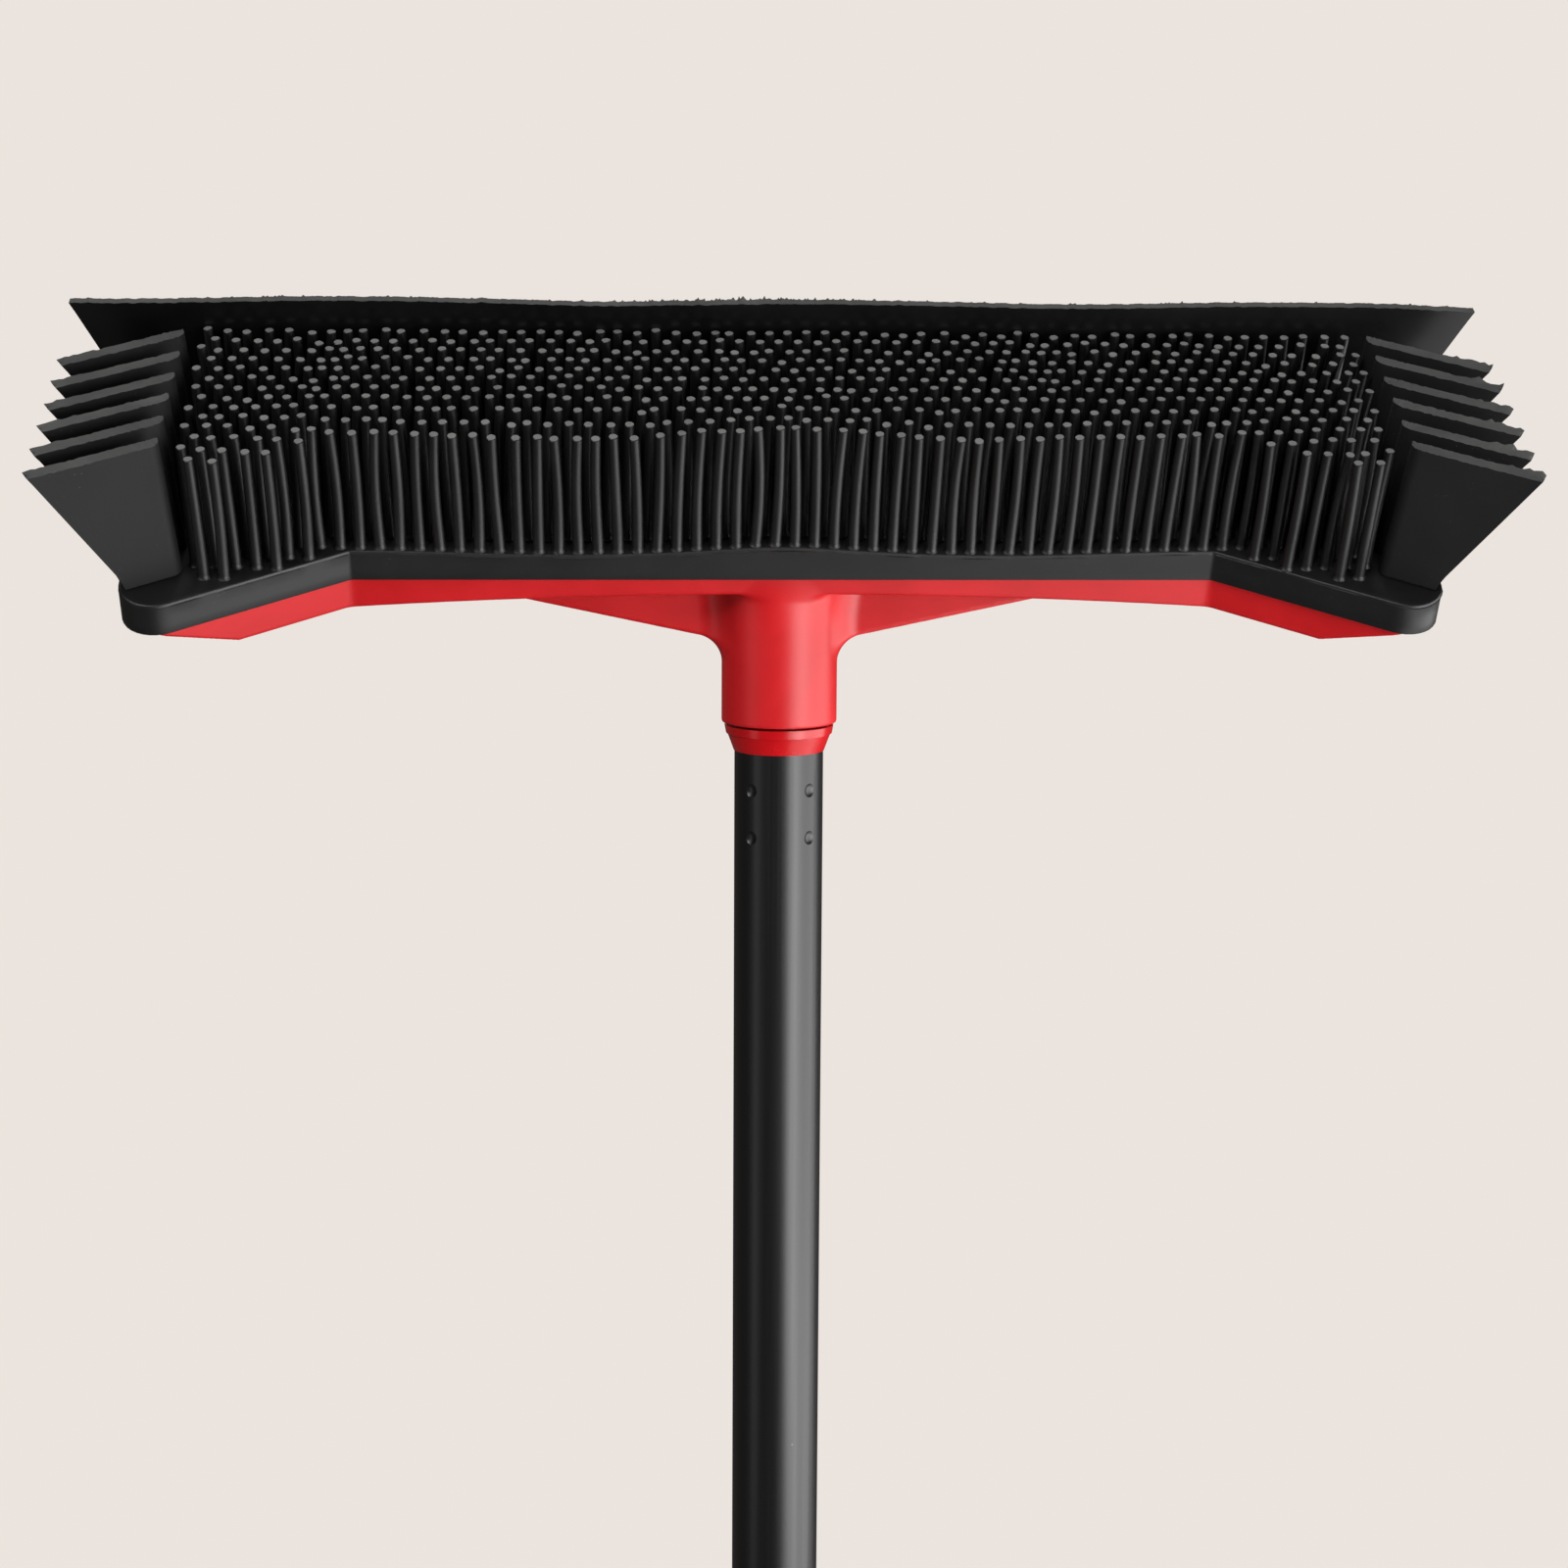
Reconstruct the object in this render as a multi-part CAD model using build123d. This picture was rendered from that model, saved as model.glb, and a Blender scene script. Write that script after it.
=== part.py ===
from build123d import *
import math
import os

# A push broom with a moulded rubber head on a telescopic steel handle.
# The handle's axis is the Z axis and the hanging hole's centre is the origin. The head sits on top
# with its rubber bristles up, leaning towards -Y as the socket sets it. Lengths are millimetres.

# ---- handle, from the hanging end upwards ----
cap_end_z = -12.0
cap_shoulder_z = 22.0        # the inner tube and the grip stand on this shoulder
cap_radius = 13.0
tongue_thickness = 12.0      # flat tongue of the hanging cap
hang_hole_radius = 4.5
grip_top_z = 89.5
grip_radius = 13.2
grip_groove_pitch = 5.6
grip_groove_depth = 0.7
collar_bottom_z = 91.5
collar_top_z = 134.0
collar_radius = 14.0
outer_tube_bottom_z = 100.0
tube_top_z = 796.0           # upper end of the outer tube
outer_tube_radius = 11.0
outer_tube_wall = 0.8
inner_tube_radius = 9.5
inner_tube_wall = 0.7
inner_tube_top_z = 720.0
running_gap = 0.05           # radial clearance of sliding and turning fits

# ---- dents that crimp the outer tube onto the threaded insert ----
dent_rows_below_top = (9.0, 20.8)
dent_angles = (-139.5, -40.5, 40.5, 139.5)   # degrees from the front of the broom
dent_ball_radius = 3.0
dent_depth = 0.55

# ---- threaded insert between the tube and the head ----
insert_plug_length = 30.0
insert_cone_height = 4.3
insert_rim_height = 6.4
insert_stem_length = 30.0
head_thread_radius = 9.5     # three-quarter inch broom thread
head_thread_pitch = 5.08
head_thread_depth = 1.9
thread_slack = 0.2

# ---- twist lock inside the tubes ----
stud_plug_length = 30.0
stud_flange_thickness = 3.0
stud_length = 40.0
stud_radius = 4.8
stud_thread_depth = 1.0
stud_thread_pitch = 4.0
sleeve_gap = 0.4             # the sleeve floats between the stud's flange and the wedge nut
sleeve_length = 22.0
sleeve_bore_radius = 5.6
sleeve_cone_radius = 8.6
sleeve_cone_length = 15.0
sleeve_slot_width = 2.4
wedge_travel = 2.0           # half a turn of the stud's thread
nut_height = 19.0
nut_key_width = 2.0

# ---- head, in its own plane: X across, Y back, Z along the bristles ----
head_tilt = 27.8             # degrees between the bristles and the handle
head_rise = 64.5             # from the top of the tube to the bristle roots on the handle's axis
fold_x = 102.5               # the front edge turns forward here
front_y = -27.0
wing_slope = 0.56
end_front_x = 153.5
end_back_x = 155.5
back_y = 27.0
corner_radius = 8.0
skirt_height = 9.3
skirt_wall = 1.8
pad_thickness = 3.4

# ---- red shell under the rubber ----
shell_draft = 9.0            # degrees
shell_wall = 2.6
shell_depth_middle = 6.2     # below the rubber skirt
shell_depth_wings = 10.2
shell_depth_tips = -1.6        # the underside has run out into the skirt at the very ends
shell_vertex_x = 130.0
socket_mouth_rise = 7.0      # above the top of the tube
socket_radius = 14.2
socket_lip_radius = 14.5
socket_lip_height = 2.2
gusset_root_rise = 27.5      # lower edge of each gusset at the socket, above the top of the tube
gusset_slope = 0.21
gusset_half_thickness = 2.6
gusset_fillet = 5.0

# ---- rubber bristles, end fins and squeegee ----
bristle_length = 31.6
bristle_root_radius = 1.35
bristle_tip_radius = 1.15
bristle_pitch_x = 4.65
bristle_pitch_y = 4.48
bristle_half_field = 138.0
first_row_y = -25.0          # first row that runs from end to end
full_rows = 11
wing_rows = 3                # short rows that fill each wing
edge_clearance = 1.9
fin_count = 6
fin_pitch = 10.0
fin_thickness = 3.3
fin_height = 35.0
fin_root_x = (139.8, 151.1)
fin_tip_x = (141.8, 168.0)
fin_first_y = -44.6          # front fin's outer root
fin_nose_radius = 1.6
squeegee_height = 38.0
squeegee_front_y = 22.0
squeegee_root_thickness = 3.0
squeegee_tip_thickness = 2.3
squeegee_root_x = 152.6
squeegee_tip_x = 170.0


def tube_between(outer_radius, inner_radius, low, high):
    """A straight tube round the Z axis."""
    return Pos(0, 0, low) * (
        Cylinder(outer_radius, high - low, align=(Align.CENTER, Align.CENTER, Align.MIN))
        - Cylinder(inner_radius, high - low, align=(Align.CENTER, Align.CENTER, Align.MIN))
    )


def rod_between(radius, low, high):
    """A solid round bar on the Z axis."""
    return Pos(0, 0, low) * Cylinder(radius, high - low, align=(Align.CENTER, Align.CENTER, Align.MIN))


def cone_between(low_radius, high_radius, low, high):
    """A cone frustum on the Z axis."""
    return Pos(0, 0, low) * Cone(
        low_radius, high_radius, high - low, align=(Align.CENTER, Align.CENTER, Align.MIN)
    )


def thread_ridge(root_radius, crest_radius, pitch, low, high, extra=0.0):
    """A right-handed trapezoidal ridge from low to high. extra widens both flanks for a nut."""
    path = Pos(0, 0, low) * Helix(pitch=pitch, height=high - low, radius=root_radius)
    depth = crest_radius - root_radius
    bite = 0.25
    root_half = 0.30 * pitch + extra
    crest_half = 0.18 * pitch + extra
    start = Plane(origin=(root_radius, 0, low), x_dir=(1, 0, 0), z_dir=(0, 1, 0))
    section = start * make_face(
        Polyline((-bite, -root_half), (depth, -crest_half), (depth, crest_half), (-bite, root_half),
                 close=True)
    )
    return sweep(section, path=path, is_frenet=True)


def dent_balls(radius):
    """Balls at the crimp dents, all with the same centres."""
    centre_radius = outer_tube_radius + dent_ball_radius - dent_depth
    return [
        Pos(centre_radius * math.sin(math.radians(angle)),
            -centre_radius * math.cos(math.radians(angle)),
            tube_top_z - below) * Sphere(radius)
        for below in dent_rows_below_top
        for angle in dent_angles
    ]


# ======================================================================= handle pieces
def make_outer_tube():
    """Steel tube with dents pressed inwards into the threaded insert's plug."""
    bore_radius = outer_tube_radius - outer_tube_wall
    tube = tube_between(outer_tube_radius, bore_radius, outer_tube_bottom_z, tube_top_z)
    inside = rod_between(bore_radius + 0.3, tube_top_z - 30, tube_top_z)
    for bump in dent_balls(dent_ball_radius + outer_tube_wall):
        tube += bump & inside
    for dent in dent_balls(dent_ball_radius):
        tube -= dent
    return tube


def make_tube_collar():
    """Collar pushed over the outer tube's lower end; its lip guides the inner tube."""
    body = cone_between(collar_radius - 1.2, collar_radius, collar_bottom_z, collar_bottom_z + 6)
    body += rod_between(collar_radius, collar_bottom_z + 6, collar_top_z - 8)
    body += cone_between(collar_radius, outer_tube_radius + 1.3, collar_top_z - 8, collar_top_z)
    body -= rod_between(outer_tube_radius, outer_tube_bottom_z, collar_top_z)
    body -= rod_between(inner_tube_radius + running_gap, collar_bottom_z, collar_top_z)
    rib_count = 16
    for index in range(rib_count):
        turned = Rot(0, 0, index * 360 / rib_count)
        groove = Pos(collar_radius + 0.55, 0, (collar_bottom_z + collar_top_z) / 2 - 1)
        body -= turned * groove * Cylinder(1.3, 22)
    return body


def make_inner_tube():
    """Thinner steel tube that slides inside the outer one."""
    bore = inner_tube_radius - inner_tube_wall
    return tube_between(inner_tube_radius, bore, cap_shoulder_z, inner_tube_top_z)


def make_grip_sleeve():
    """Hand grip with shallow rings, pushed over the inner tube."""
    grip = rod_between(grip_radius, cap_shoulder_z, grip_top_z)
    grip = chamfer(grip.edges().filter_by(GeomType.CIRCLE).sort_by(Axis.Z)[-1], 1.2)
    ring_z = cap_shoulder_z + 9.0
    while ring_z < grip_top_z - 7.0:
        grip -= Pos(0, 0, ring_z) * Torus(grip_radius + 0.6, 0.6 + grip_groove_depth)
        ring_z += grip_groove_pitch
    return grip - rod_between(inner_tube_radius, cap_shoulder_z, grip_top_z)


def make_hang_cap():
    """End cap: a flat rounded tongue with the hanging hole, a round shoulder and a plug."""
    round_z = cap_end_z + cap_radius
    tongue = Pos(0, 0, round_z) * Rot(90, 0, 0) * Cylinder(cap_radius, tongue_thickness)
    tongue += Pos(0, 0, round_z) * Box(
        2 * cap_radius, tongue_thickness, cap_shoulder_z - round_z - 4,
        align=(Align.CENTER, Align.CENTER, Align.MIN),
    )
    tongue = fillet(tongue.edges().group_by(Axis.Z)[0], 1.5)
    shoulder = cone_between(9.0, cap_radius, cap_shoulder_z - 14, cap_shoulder_z - 7)
    shoulder += rod_between(cap_radius, cap_shoulder_z - 7, cap_shoulder_z)
    plug = rod_between(inner_tube_radius - inner_tube_wall, cap_shoulder_z, cap_shoulder_z + 22)
    hole = Rot(90, 0, 0) * Cylinder(hang_hole_radius, 2 * cap_radius)
    return tongue + shoulder + plug - hole


def make_thread_insert():
    """Moulded insert: plug crimped in the tube, visible cone and rim, threaded stem."""
    plug = rod_between(outer_tube_radius - outer_tube_wall - running_gap,
                       tube_top_z - insert_plug_length, tube_top_z)
    for dent in dent_balls(dent_ball_radius + outer_tube_wall + running_gap):
        plug -= dent
    cone = cone_between(11.2, 12.8, tube_top_z, tube_top_z + insert_cone_height)
    rim = cone_between(13.1, 13.5, tube_top_z + insert_cone_height, tube_top_z + insert_rim_height)
    stem_low = tube_top_z + insert_rim_height
    stem_high = stem_low + insert_stem_length
    core = rod_between(head_thread_radius - head_thread_depth, stem_low, stem_high)
    ridge = thread_ridge(head_thread_radius - head_thread_depth, head_thread_radius,
                         head_thread_pitch, stem_low + 3, stem_high - 3)
    hollow = rod_between(5.0, tube_top_z - insert_plug_length, stem_high - 6)
    return plug + cone + rim + core + ridge - hollow


# ======================================================================= twist lock
flange_top_z = inner_tube_top_z + stud_flange_thickness
sleeve_low_z = flange_top_z + sleeve_gap
sleeve_top_z = sleeve_low_z + sleeve_length
nut_low_z = sleeve_top_z - sleeve_cone_length + wedge_travel + 1.0


def make_expander_stud():
    """Plug fixed in the inner tube's end, with the threaded stud that works the lock."""
    bore = inner_tube_radius - inner_tube_wall
    plug = rod_between(bore, inner_tube_top_z - stud_plug_length, inner_tube_top_z)
    flange = rod_between(inner_tube_radius + 0.3, inner_tube_top_z, flange_top_z)
    core_radius = stud_radius - stud_thread_depth
    stud_high = flange_top_z + stud_length
    core = rod_between(core_radius, flange_top_z, stud_high)
    ridge = thread_ridge(core_radius, stud_radius, stud_thread_pitch, flange_top_z + 3, stud_high - 2)
    return plug + flange + core + ridge


def make_expander_sleeve():
    """Split sleeve that the wedge nut spreads against the outer tube's bore."""
    radius = outer_tube_radius - outer_tube_wall - running_gap
    sleeve = rod_between(radius, sleeve_low_z, sleeve_top_z)
    sleeve -= rod_between(sleeve_bore_radius, sleeve_low_z, sleeve_top_z)
    sleeve -= cone_between(sleeve_bore_radius, sleeve_cone_radius,
                           sleeve_top_z - sleeve_cone_length, sleeve_top_z)
    whole_slot = Pos(radius / 2, 0, sleeve_low_z + sleeve_length / 2) * Box(
        radius + 2, sleeve_slot_width, sleeve_length)
    sleeve -= whole_slot
    for angle in (90, 180, 270):
        half_slot = Pos(radius, 0, sleeve_top_z - sleeve_length / 3) * Box(
            radius, sleeve_slot_width, sleeve_length)
        sleeve -= Rot(0, 0, angle) * half_slot
    return sleeve


def make_wedge_nut():
    """Cone nut on the stud; its key runs in the sleeve's slot so it slides without turning."""
    nut_high_z = nut_low_z + nut_height
    cone_growth = (sleeve_cone_radius - sleeve_bore_radius) / sleeve_cone_length
    side_gap = 0.1
    locked_low_z = nut_low_z - wedge_travel
    low_radius = (sleeve_bore_radius - side_gap
                  + cone_growth * (locked_low_z - (sleeve_top_z - sleeve_cone_length)))
    cone_high_z = sleeve_top_z + wedge_travel + 0.3
    high_radius = low_radius + cone_growth * (cone_high_z - nut_low_z)
    nut = cone_between(low_radius, high_radius, nut_low_z, cone_high_z)
    nut += rod_between(9.3, cone_high_z, nut_high_z)
    nut += Pos(0, 0, nut_low_z) * Box(
        9.3, nut_key_width, cone_high_z - nut_low_z, align=(Align.MIN, Align.CENTER, Align.MIN))
    core_radius = stud_radius - stud_thread_depth + thread_slack
    nut -= rod_between(core_radius, nut_low_z, nut_high_z)
    groove = thread_ridge(core_radius, stud_radius + thread_slack, stud_thread_pitch,
                          flange_top_z + 3, flange_top_z + stud_length - 2, thread_slack)
    return nut - groove


# ======================================================================= head pieces
tilt = math.radians(head_tilt)
head_plane = Plane(
    origin=(0, 0, tube_top_z + head_rise),
    x_dir=(1, 0, 0),
    z_dir=(0, -math.sin(tilt), math.cos(tilt)),
)


def on_head(shape):
    """Moves a shape drawn in the head's own plane to its place on the handle."""
    return head_plane.location * shape


def head_outline(inset):
    """The head's plan: a straight back and middle, with both ends coming forward."""
    wing_y = front_y - wing_slope * (end_front_x - fold_x)
    plan = make_face(Polyline(
        (-fold_x, front_y), (fold_x, front_y), (end_front_x, wing_y),
        (end_back_x, back_y), (-end_back_x, back_y), (-end_front_x, wing_y), close=True,
    ))
    corners = plan.vertices().filter_by(lambda v: abs(v.X) > fold_x + 1)
    plan = fillet(corners, corner_radius)
    folds = plan.vertices().filter_by(lambda v: abs(abs(v.X) - fold_x) < 0.01)
    plan = fillet(folds, 2.0)
    if inset:
        plan = offset(plan, amount=-inset)
    return plan


def make_rubber_base():
    """Rubber pad that carries the bristles, with a skirt round the shell's edge."""
    body = extrude(head_outline(0), amount=-skirt_height)
    pocket = extrude(head_outline(skirt_wall), amount=-(skirt_height - pad_thickness))
    body -= Pos(0, 0, -pad_thickness) * pocket
    return on_head(body)


def shell_prism(inset, top, depth_change):
    """The shell's drafted walls, cut to the arched and chamfered lower profile."""
    low = -(skirt_height + shell_depth_wings) + depth_change
    middle = -(skirt_height + shell_depth_middle) + depth_change
    tip_z = -(skirt_height + shell_depth_tips) + depth_change
    upper = extrude(head_outline(skirt_wall + inset), amount=-(skirt_height - pad_thickness))
    upper = Pos(0, 0, -pad_thickness) * upper
    lower = extrude(head_outline(skirt_wall + inset), amount=-20, taper=shell_draft)
    lower = Pos(0, 0, -skirt_height) * lower
    profile = make_face(
        Line((fold_x, low), (shell_vertex_x, low))
        + Line((shell_vertex_x, low), (end_back_x + 2, tip_z))
        + Line((end_back_x + 2, tip_z), (end_back_x + 2, top))
        + Line((end_back_x + 2, top), (-end_back_x - 2, top))
        + Line((-end_back_x - 2, top), (-end_back_x - 2, tip_z))
        + Line((-end_back_x - 2, tip_z), (-shell_vertex_x, low))
        + Line((-shell_vertex_x, low), (-fold_x, low))
        + ThreePointArc((-fold_x, low), (0, middle), (fold_x, low))
    )
    side = extrude(Plane.XZ * profile, amount=100, both=True)
    return (upper + lower) & side


def make_head_shell():
    """Hollow shell with the slanted handle socket and a gusset on each side of it."""
    shell = shell_prism(0, 1, 0) - shell_prism(shell_wall, 1, shell_wall)
    mouth_z = tube_top_z + socket_mouth_rise
    pad_z = tube_top_z + head_rise
    socket = rod_between(socket_radius, mouth_z, pad_z + 12)
    lip = rod_between(socket_lip_radius, mouth_z, mouth_z + socket_lip_height)
    flare_low = pad_z - 37
    flare_high = pad_z - 16
    flare_profile = make_face(
        Line((0, flare_low), (socket_radius, flare_low))
        + ThreePointArc((socket_radius, flare_low), (socket_radius + 0.9, flare_low + 12),
                        (socket_radius + 3.6, flare_high))
        + Line((socket_radius + 3.6, flare_high), (0, flare_high))
        + Line((0, flare_high), (0, flare_low))
    )
    flare = revolve(Plane.XZ * flare_profile, Axis.Z)
    gusset_reach = 112.0
    root_z = tube_top_z + gusset_root_rise
    gusset_end_z = root_z + gusset_slope * (gusset_reach - socket_radius)
    inner_x = socket_radius - 0.4
    foot_z = root_z - 2 * gusset_fillet
    gusset_face = make_face(Polyline(
        (-inner_x, foot_z), (inner_x, foot_z), (inner_x, root_z), (gusset_reach, gusset_end_z),
        (gusset_reach, pad_z), (-gusset_reach, pad_z), (-gusset_reach, gusset_end_z),
        (-inner_x, root_z), close=True,
    ))
    armpits = gusset_face.vertices().filter_by(lambda v: abs(v.Y - root_z) < 0.01)
    gusset_face = fillet(armpits, gusset_fillet)
    gussets = extrude(Plane.XZ * gusset_face, amount=gusset_half_thickness, both=True)
    pocket = extrude(head_outline(skirt_wall), amount=-(skirt_height - pad_thickness))
    inside_rubber = on_head(Pos(0, 0, -pad_thickness) * pocket)
    below_rubber = on_head(Pos(0, 0, -skirt_height - 60) * Box(
        2 * end_back_x, 200, 120, align=(Align.CENTER, Align.CENTER, Align.CENTER)))
    allowed = inside_rubber + below_rubber
    body = on_head(shell) + ((socket + flare + gussets) & allowed) + lip
    bore_top = mouth_z + insert_stem_length + 3
    body -= rod_between(head_thread_radius - head_thread_depth + thread_slack, mouth_z, bore_top)
    body -= thread_ridge(head_thread_radius - head_thread_depth + thread_slack,
                         head_thread_radius + thread_slack, head_thread_pitch,
                         tube_top_z + insert_rim_height + 3 - head_thread_pitch,
                         tube_top_z + insert_rim_height + insert_stem_length - 3 + 0.5 * head_thread_pitch,
                         thread_slack)
    return body


def front_limit(x):
    """Y of the head's front edge at x, in the head's plane."""
    return front_y - wing_slope * max(abs(x) - fold_x, 0)


def bristle_places(row):
    """X and Y of the roots in one row. Rows count from the front; the first few fill the wings."""
    y = first_row_y + (row - wing_rows) * bristle_pitch_y
    shift = 0.5 * bristle_pitch_x * (row % 2)
    columns = int(bristle_half_field / bristle_pitch_x) + 1
    places = []
    for column in range(-columns, columns + 1):
        x = column * bristle_pitch_x + shift
        if abs(x) <= bristle_half_field and y - front_limit(x) >= edge_clearance:
            places.append((x, y))
    return places


def make_bristle_row(row):
    """One row of slightly tapered rubber bristles."""
    bristle = Cone(bristle_root_radius, bristle_tip_radius, bristle_length,
                   align=(Align.CENTER, Align.CENTER, Align.MIN))
    return Compound(children=[on_head(Pos(x, y, 0) * bristle) for x, y in bristle_places(row)])


def make_fin(index, side):
    """A flat rubber fin on an end of the head, wider at its tip. side is -1 left, 1 right."""
    stretch = math.hypot(1, wing_slope)
    root_y = fin_first_y + index * fin_pitch
    plane = Plane(origin=(fin_root_x[1], root_y, 0), x_dir=(1, -wing_slope, 0), z_dir=(-wing_slope, -1, 0))

    def along(x):
        return (x - fin_root_x[1]) * stretch

    face = make_face(Polyline(
        (along(fin_root_x[0]), 0), (along(fin_root_x[1]), 0),
        (along(fin_tip_x[1]), fin_height), (along(fin_tip_x[0]), fin_height), close=True,
    ))
    fin = extrude(plane * face, amount=-fin_thickness)
    nose = fin.edges().filter_by(lambda e: e.center().X < fin_tip_x[0] and abs(e.tangent_at(0).Z) > 0.9)
    fin = fillet(nose, fin_nose_radius)
    if side < 0:
        fin = mirror(fin, about=Plane.YZ)
    return on_head(fin)


def make_squeegee_blade():
    """Long rubber lip along the back, thinner and wider at its edge."""
    root = make_face(Polyline(
        (-squeegee_root_x, squeegee_front_y), (squeegee_root_x, squeegee_front_y),
        (squeegee_root_x, squeegee_front_y + squeegee_root_thickness),
        (-squeegee_root_x, squeegee_front_y + squeegee_root_thickness), close=True,
    ))
    tip = make_face(Polyline(
        (-squeegee_tip_x, squeegee_front_y + 0.3), (squeegee_tip_x, squeegee_front_y + 0.3),
        (squeegee_tip_x, squeegee_front_y + 0.3 + squeegee_tip_thickness),
        (-squeegee_tip_x, squeegee_front_y + 0.3 + squeegee_tip_thickness), close=True,
    ))
    return on_head(loft([root, Pos(0, 0, squeegee_height) * tip]))


# ======================================================================= writing the pieces
pieces = {
    "hang_cap": make_hang_cap(),
    "grip_sleeve": make_grip_sleeve(),
    "inner_tube": make_inner_tube(),
    "tube_collar": make_tube_collar(),
    "outer_tube": make_outer_tube(),
    "thread_insert": make_thread_insert(),
    "expander_stud": make_expander_stud(),
    "expander_sleeve": make_expander_sleeve(),
    "wedge_nut": make_wedge_nut(),
    "head_shell": make_head_shell(),
    "rubber_base": make_rubber_base(),
    "squeegee_blade": make_squeegee_blade(),
}
for number in range(1, fin_count + 1):
    pieces[f"left_fin_{number}"] = make_fin(number - 1, -1)
    pieces[f"right_fin_{number}"] = make_fin(number - 1, 1)
for number in range(1, wing_rows + full_rows + 1):
    pieces[f"bristle_row_{number:02d}"] = make_bristle_row(number - 1)

os.makedirs("parts", exist_ok=True)
for name, shape in pieces.items():
    export_step(shape, f"parts/{name}.step")
print(len(pieces), "pieces written")
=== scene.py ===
# %% [markdown]
# # A rubber push broom on a telescopic handle
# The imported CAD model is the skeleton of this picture: it says where every piece is and how big it is.
# Blender adds what a CAD solid can't show, such as bristles that lean, a lip that waves, a cut edge
# with its flash, and the finish of each material. We load the model first and keep its box, because
# the finished picture may not grow past it.

# %% Load the frame
import math
import random

import bmesh
import bpy
import numpy as np
from mathutils import Matrix, Vector


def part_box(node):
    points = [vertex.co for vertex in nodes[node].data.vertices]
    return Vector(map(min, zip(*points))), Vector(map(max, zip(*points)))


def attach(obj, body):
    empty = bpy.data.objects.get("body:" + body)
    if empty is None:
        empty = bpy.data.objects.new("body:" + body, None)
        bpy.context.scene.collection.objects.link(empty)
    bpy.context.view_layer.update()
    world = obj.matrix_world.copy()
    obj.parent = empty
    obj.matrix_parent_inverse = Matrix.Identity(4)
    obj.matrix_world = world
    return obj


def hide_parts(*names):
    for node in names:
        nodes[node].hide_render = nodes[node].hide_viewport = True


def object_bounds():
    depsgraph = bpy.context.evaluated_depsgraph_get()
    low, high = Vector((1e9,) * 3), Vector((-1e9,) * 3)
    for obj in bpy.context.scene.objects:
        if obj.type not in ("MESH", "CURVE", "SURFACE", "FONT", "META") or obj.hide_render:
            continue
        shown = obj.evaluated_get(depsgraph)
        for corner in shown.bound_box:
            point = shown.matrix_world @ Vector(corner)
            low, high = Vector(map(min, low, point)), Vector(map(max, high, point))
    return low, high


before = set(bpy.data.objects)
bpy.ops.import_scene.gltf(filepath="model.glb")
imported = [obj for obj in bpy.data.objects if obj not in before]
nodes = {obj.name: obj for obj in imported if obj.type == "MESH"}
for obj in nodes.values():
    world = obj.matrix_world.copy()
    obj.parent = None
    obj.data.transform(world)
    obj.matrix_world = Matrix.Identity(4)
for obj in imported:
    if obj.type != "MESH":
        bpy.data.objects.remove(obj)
cad_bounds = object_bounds()
MM = 0.001

# %% [markdown]
# ## Where the head is
# The head leans on its handle, so it is easiest to draw in its own axes: X across the broom, Y towards
# the squeegee, and Z along the bristles, with Z = 0 where the bristles leave the rubber. The frame gives
# these axes. The pad's mesh has one flat top, so the bristles' direction is that face's normal, and the
# handle's axis crosses that face above the tube.

# %% The head's own axes
HEAD_TILT = math.radians(27.8)
HEAD_RISE = 64.5 * MM
tube_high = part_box("outer_tube")[1]
head_place = Matrix.Translation((0, 0, tube_high.z + HEAD_RISE)) @ Matrix.Rotation(HEAD_TILT, 4, "X")
head_from_frame = head_place.inverted()


def in_head(points):
    """Points of the row frame, in metres, as millimetres in the head's axes."""
    turn = np.array(head_from_frame)
    return (np.asarray(points, float) @ turn[:3, :3].T + turn[:3, 3]) / MM


def to_frame(points):
    """Millimetres in the head's axes, as metres in the row frame."""
    turn = np.array(head_place)
    return (np.asarray(points, float) * MM) @ turn[:3, :3].T + turn[:3, 3]


def node_points(name):
    """A CAD node's vertices, in the head's axes, in millimetres."""
    mesh = nodes[name].data
    flat = np.empty(len(mesh.vertices) * 3)
    mesh.vertices.foreach_get("co", flat)
    return in_head(flat.reshape(-1, 3))


pad_points = node_points("rubber_base")
print("the pad's top lies at", round(float(pad_points[:, 2].max()), 3), "mm in the head's axes")

# %% [markdown]
# ## Camera
# The camera looks at the broom's front from a little above the head, and slightly from the left. A long
# lens keeps the ends of the head from flaring. Its place is measured from the top of the tube.

# %% Camera
CAMERA_FROM_TUBE_TOP = Vector((-38.2, -698.5, 111.3)) * MM
CAMERA_YAW = math.radians(3.24)
CAMERA_PITCH = math.radians(9.74)
CAMERA_ROLL = math.radians(0.34)
SENSOR_WIDTH = 36.0
LENS = 2920.0 / 1600.0 * SENSOR_WIDTH

camera_data = bpy.data.cameras.new("studio_camera")
camera_data.sensor_width = SENSOR_WIDTH
camera_data.lens = LENS
camera_data.clip_start = 0.01
camera_data.clip_end = 100
camera = bpy.data.objects.new("studio_camera", camera_data)
bpy.context.scene.collection.objects.link(camera)
camera.matrix_world = (
    Matrix.Translation(Vector((0, 0, tube_high.z)) + CAMERA_FROM_TUBE_TOP)
    @ Matrix.Rotation(-CAMERA_YAW, 4, "Z")
    @ Matrix.Rotation(math.pi / 2 - CAMERA_PITCH, 4, "X")
    @ Matrix.Rotation(CAMERA_ROLL, 4, "Z")
)
bpy.context.scene.camera = camera
bpy.context.scene.view_settings.view_transform = "Standard"
print("lens", round(LENS, 1), "mm")

# %% [markdown]
# ## Colours and nodes
# Colours are written as the hex values that a paint or screen shows. Blender mixes light with linear
# numbers, so one function turns a hex value to those. Another adds a shader node with its settings and
# its links, and it serves every kind of node. Four short ones make what every material here repeats.

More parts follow.
